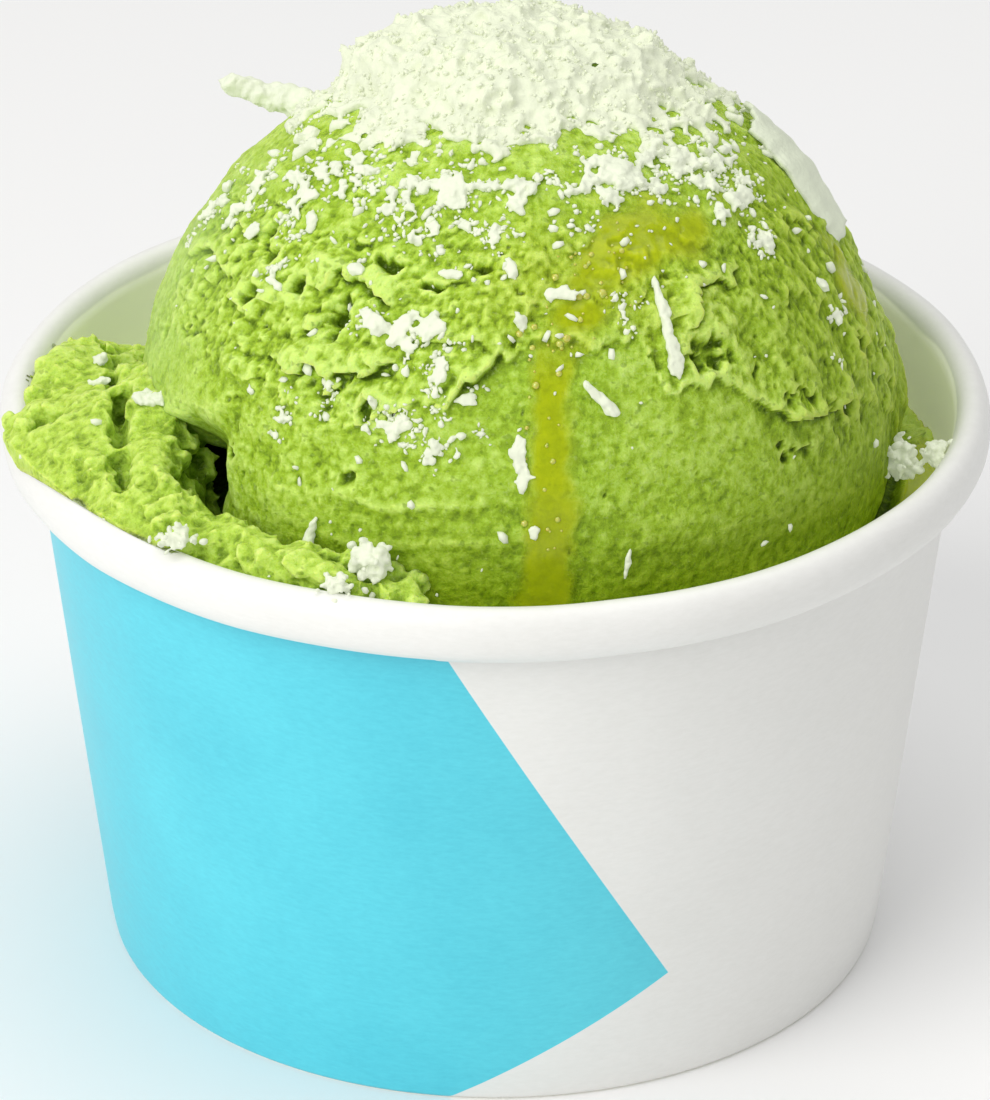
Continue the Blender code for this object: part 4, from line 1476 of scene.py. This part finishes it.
# %% Bubbles in the oil
bubble_film, tree, shader = new_material(
    "oil bubbles", Roughness=0.18, Coat_Weight=1.0, Coat_Roughness=0.03, Subsurface_Weight=0.5
)
shader.inputs["Subsurface Scale"].default_value = 0.4 * MM
place = add_node(tree, "ShaderNodeTexCoord").outputs["Object"]
cloudy = noise_value(tree, place, 900.0, 2.0)
colour = mix_colours(tree, cloudy, (0.36, 0.42, 0.01, 1.0), (0.66, 0.66, 0.12, 1.0))
tree.links.new(colour, shader.inputs["Base Color"])
share = dice.random(70) ** 1.5
azimuths = np.interp(share, (0, 0.3, 0.6, 1), (22, 9, 3, 4)) + dice.normal(size=70) * (4.5 - 2.5 * share)
elevations = np.interp(share, (0, 0.3, 0.6, 1), (49, 41, 32, 6)) + dice.normal(size=70) * 2.5
spots, ways = land((scoop_tree,), azimuths, elevations)
radii = 0.12 + 0.3 * dice.random(len(spots)) ** 3
sizes = np.stack([radii, radii, radii * 0.7], 1)
bubble_bm = chips(spots, sizes, ways, detail=2, dent=0.08, cuts=0)
finish_piece("oil_bubbles", bubble_bm, bubble_film)

# %% [markdown]
# ### Shreds, clumps and the large shaving
#
# Besides crumbs, the grater made a few long shreds and one broad, thin shaving. A shred is a
# row of long chips fused end to end, and a clump is a ball of small ones, so both are ragged.
# The shaving is a sheet that is laid on the scoop's side and given its thickness with solidify.


# %% Shreds
def shred(stops, thick, voxel=0.13):
    """Long chips in a row through three places, fused. Thick gives half widths along it."""
    start, middle, end = (np.asarray(stop, float) for stop in stops)
    length = np.linalg.norm(end - start)
    count = int(length / 0.28) + 6
    share = np.linspace(0, 1, count)[:, None]
    line = (1 - share) ** 2 * start + 2 * share * (1 - share) * middle + share**2 * end
    along = 2 * (1 - share) * (middle - start) + 2 * share * (end - middle)
    along /= np.linalg.norm(along, axis=1)[:, None]
    half = np.interp(share[:, 0], np.linspace(0, 1, len(thick)), thick)
    spots = line + dice.normal(size=line.shape) * (half * 0.16)[:, None]
    sizes = np.stack([0.35 + half * dice.uniform(0.5, 1.0, count), half, half * 0.8], 1)
    sizes[:, 1:] *= dice.uniform(0.85, 1.1, (count, 1))
    up = np.cross(along, dice.normal(size=along.shape))
    up /= np.linalg.norm(up, axis=1)[:, None]
    return fused(chips(spots, sizes, up, along, detail=3, dent=0.25, cuts=6), voxel)


def on_scoop(*stops):
    """Places a little above the surface, from azimuth, elevation and lift."""
    azimuths, elevations, lifts = np.array(stops, float).T
    spots, ways = land((scoop_tree,), azimuths, elevations)
    return spots + ways * lifts[:, None]


shreds = joined(
    shred(on_scoop((27.8, 42.5, 0.6), (25.8, 36, 1.0), (26.6, 30, 0.5)), (0.35, 0.5, 0.5, 0.55, 0.8)),
    shred(on_scoop((11, 29.5, 0.4), (12.5, 28, 0.5), (14.6, 26.2, 0.4)), (0.4, 0.5, 0.6)),
    shred(on_scoop((-31.5, 6, 0.4), (-32.4, 3, 0.5), (-32.5, -1, 0.4)), (0.35, 0.5, 0.6)),
    shred(on_scoop((16, 5, 0.3), (15.6, 3.5, 0.3), (15.4, 1.5, 0.3)), (0.2, 0.3, 0.2)),
)
finish_piece("topping_shreds", shreds, grated)
low, high = (np.array(corner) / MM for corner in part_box("topping_stick"))
tip = (low[0] + 2.2, high[1] - 1.0, high[2] - 2.0)
root = (high[0] + 1.4, low[1] + 0.6, low[2] - 1.2)
middle = ((tip[0] + root[0]) / 2, (tip[1] + root[1]) / 2, (tip[2] + root[2]) / 2 + 0.15)
stick = shred((tip, middle, root), (1.1, 1.15, 1.15, 1.15, 1.5, 1.6), 0.17)
finish_piece("thick_shred", stick, grated, ["topping_stick"])


# %% Clumps of fine topping
def clump(middle, across, up, count, low, high):
    """Chips heaped round a middle and fused."""
    spots = np.asarray(middle) + dice.normal(size=(count, 3)) * (across, across, up)
    radii = dice.uniform(low, high, count)
    sizes = uneven(radii, (0.8, 1.5), (0.6, 1.2), (0.5, 1.0))
    return fused(chips(spots, sizes, any_way(count)), 0.16)


def set_down(x, y, lift):
    """A place above the lump, straight over x and y."""
    hit = lump_tree.ray_cast(Vector((x * MM, y * MM, 0.1)), Vector((0, 0, -1)))[0]
    return x, y, hit.z / MM + lift


clumps = joined(
    clump((-10.6, -37.4, 55.4), 0.85, 0.6, 150, 0.3, 0.6),
    clump((-13.3, -40.2, 54.6), 0.6, 0.4, 50, 0.25, 0.45),
    clump((-27.4, -33.3, 55.4), 0.7, 0.4, 80, 0.25, 0.5),
    clump((36.6, -8.5, 50.6), 0.8, 0.8, 120, 0.3, 0.6),
    clump((39.4, -9.5, 51.6), 0.6, 0.6, 60, 0.25, 0.5),
    clump(set_down(-35.6, -2.5, 0.1), 0.35, 0.2, 14, 0.3, 0.5),
    clump(set_down(-35.4, -7.5, 0.1), 0.3, 0.2, 10, 0.3, 0.5),
    clump(set_down(-31.2, -3.4, 0.0), 0.7, 0.25, 40, 0.25, 0.45),
    clump(set_down(-28.8, -5.0, 0.0), 0.45, 0.2, 22, 0.25, 0.4),
    clump(set_down(-27.0, -5.6, 0.0), 0.3, 0.2, 12, 0.25, 0.4),
    clump(set_down(-31.0, -13.3, 0.1), 0.45, 0.15, 26, 0.3, 0.5),
    clump(set_down(-29.8, -13.6, 0.1), 0.45, 0.15, 26, 0.3, 0.5),
)
finish_piece("topping_clumps", clumps, grated)

# %% The large shaving
wafer = topping_material("thin shaving", (0.66, 0.71, 0.55, 1.0), 0.1)
bm = bmesh.new()
bmesh.ops.create_grid(bm, x_segments=28, y_segments=40, size=1.0)
across, up, _ = (places(bm) * MM).T
azimuths = 94 + 4 * up + 10.5 * across * (1 - 0.25 * up**2) + 1.2 * flat_noise(up * 5, 1.0, 7)
elevations = 43 + 10.5 * up + 1.0 * flat_noise(across * 4, 1.0, 8)
lift = 1.1 + 0.5 * up - 0.9 * across**2 + 0.25 * flat_noise(up * 3 + across, 1.0, 9)
side = direction(azimuths, elevations)
reach = broad_radius(side, azimuths, elevations) + lift
move_to(bm, scoop_centre + side * reach[:, None])
bm.normal_update()
bmesh.ops.solidify(bm, geom=bm.faces[:], thickness=0.45 * MM)
bm.normal_update()
bmesh.ops.recalc_face_normals(bm, faces=bm.faces)
finish_piece("large_shaving", bm, wafer, ["large_shaving"])

# %% Finish
visual_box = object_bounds()
sizes = {"cad": [list(corner) for corner in cad_box], "visual": [list(corner) for corner in visual_box]}
print(sizes)

floor_bm = bmesh.new()
bmesh.ops.create_grid(floor_bm, x_segments=2, y_segments=2, size=3.0)
floor_mesh = bpy.data.meshes.new("table")
floor_bm.to_mesh(floor_mesh)
floor_bm.free()
floor = bpy.data.objects.new("table", floor_mesh)
pale, tree, shader = new_material("pale table", Base_Color=(0.9, 0.9, 0.9, 1.0), Roughness=0.6)
floor_mesh.materials.append(pale)
bpy.context.scene.collection.objects.link(floor)
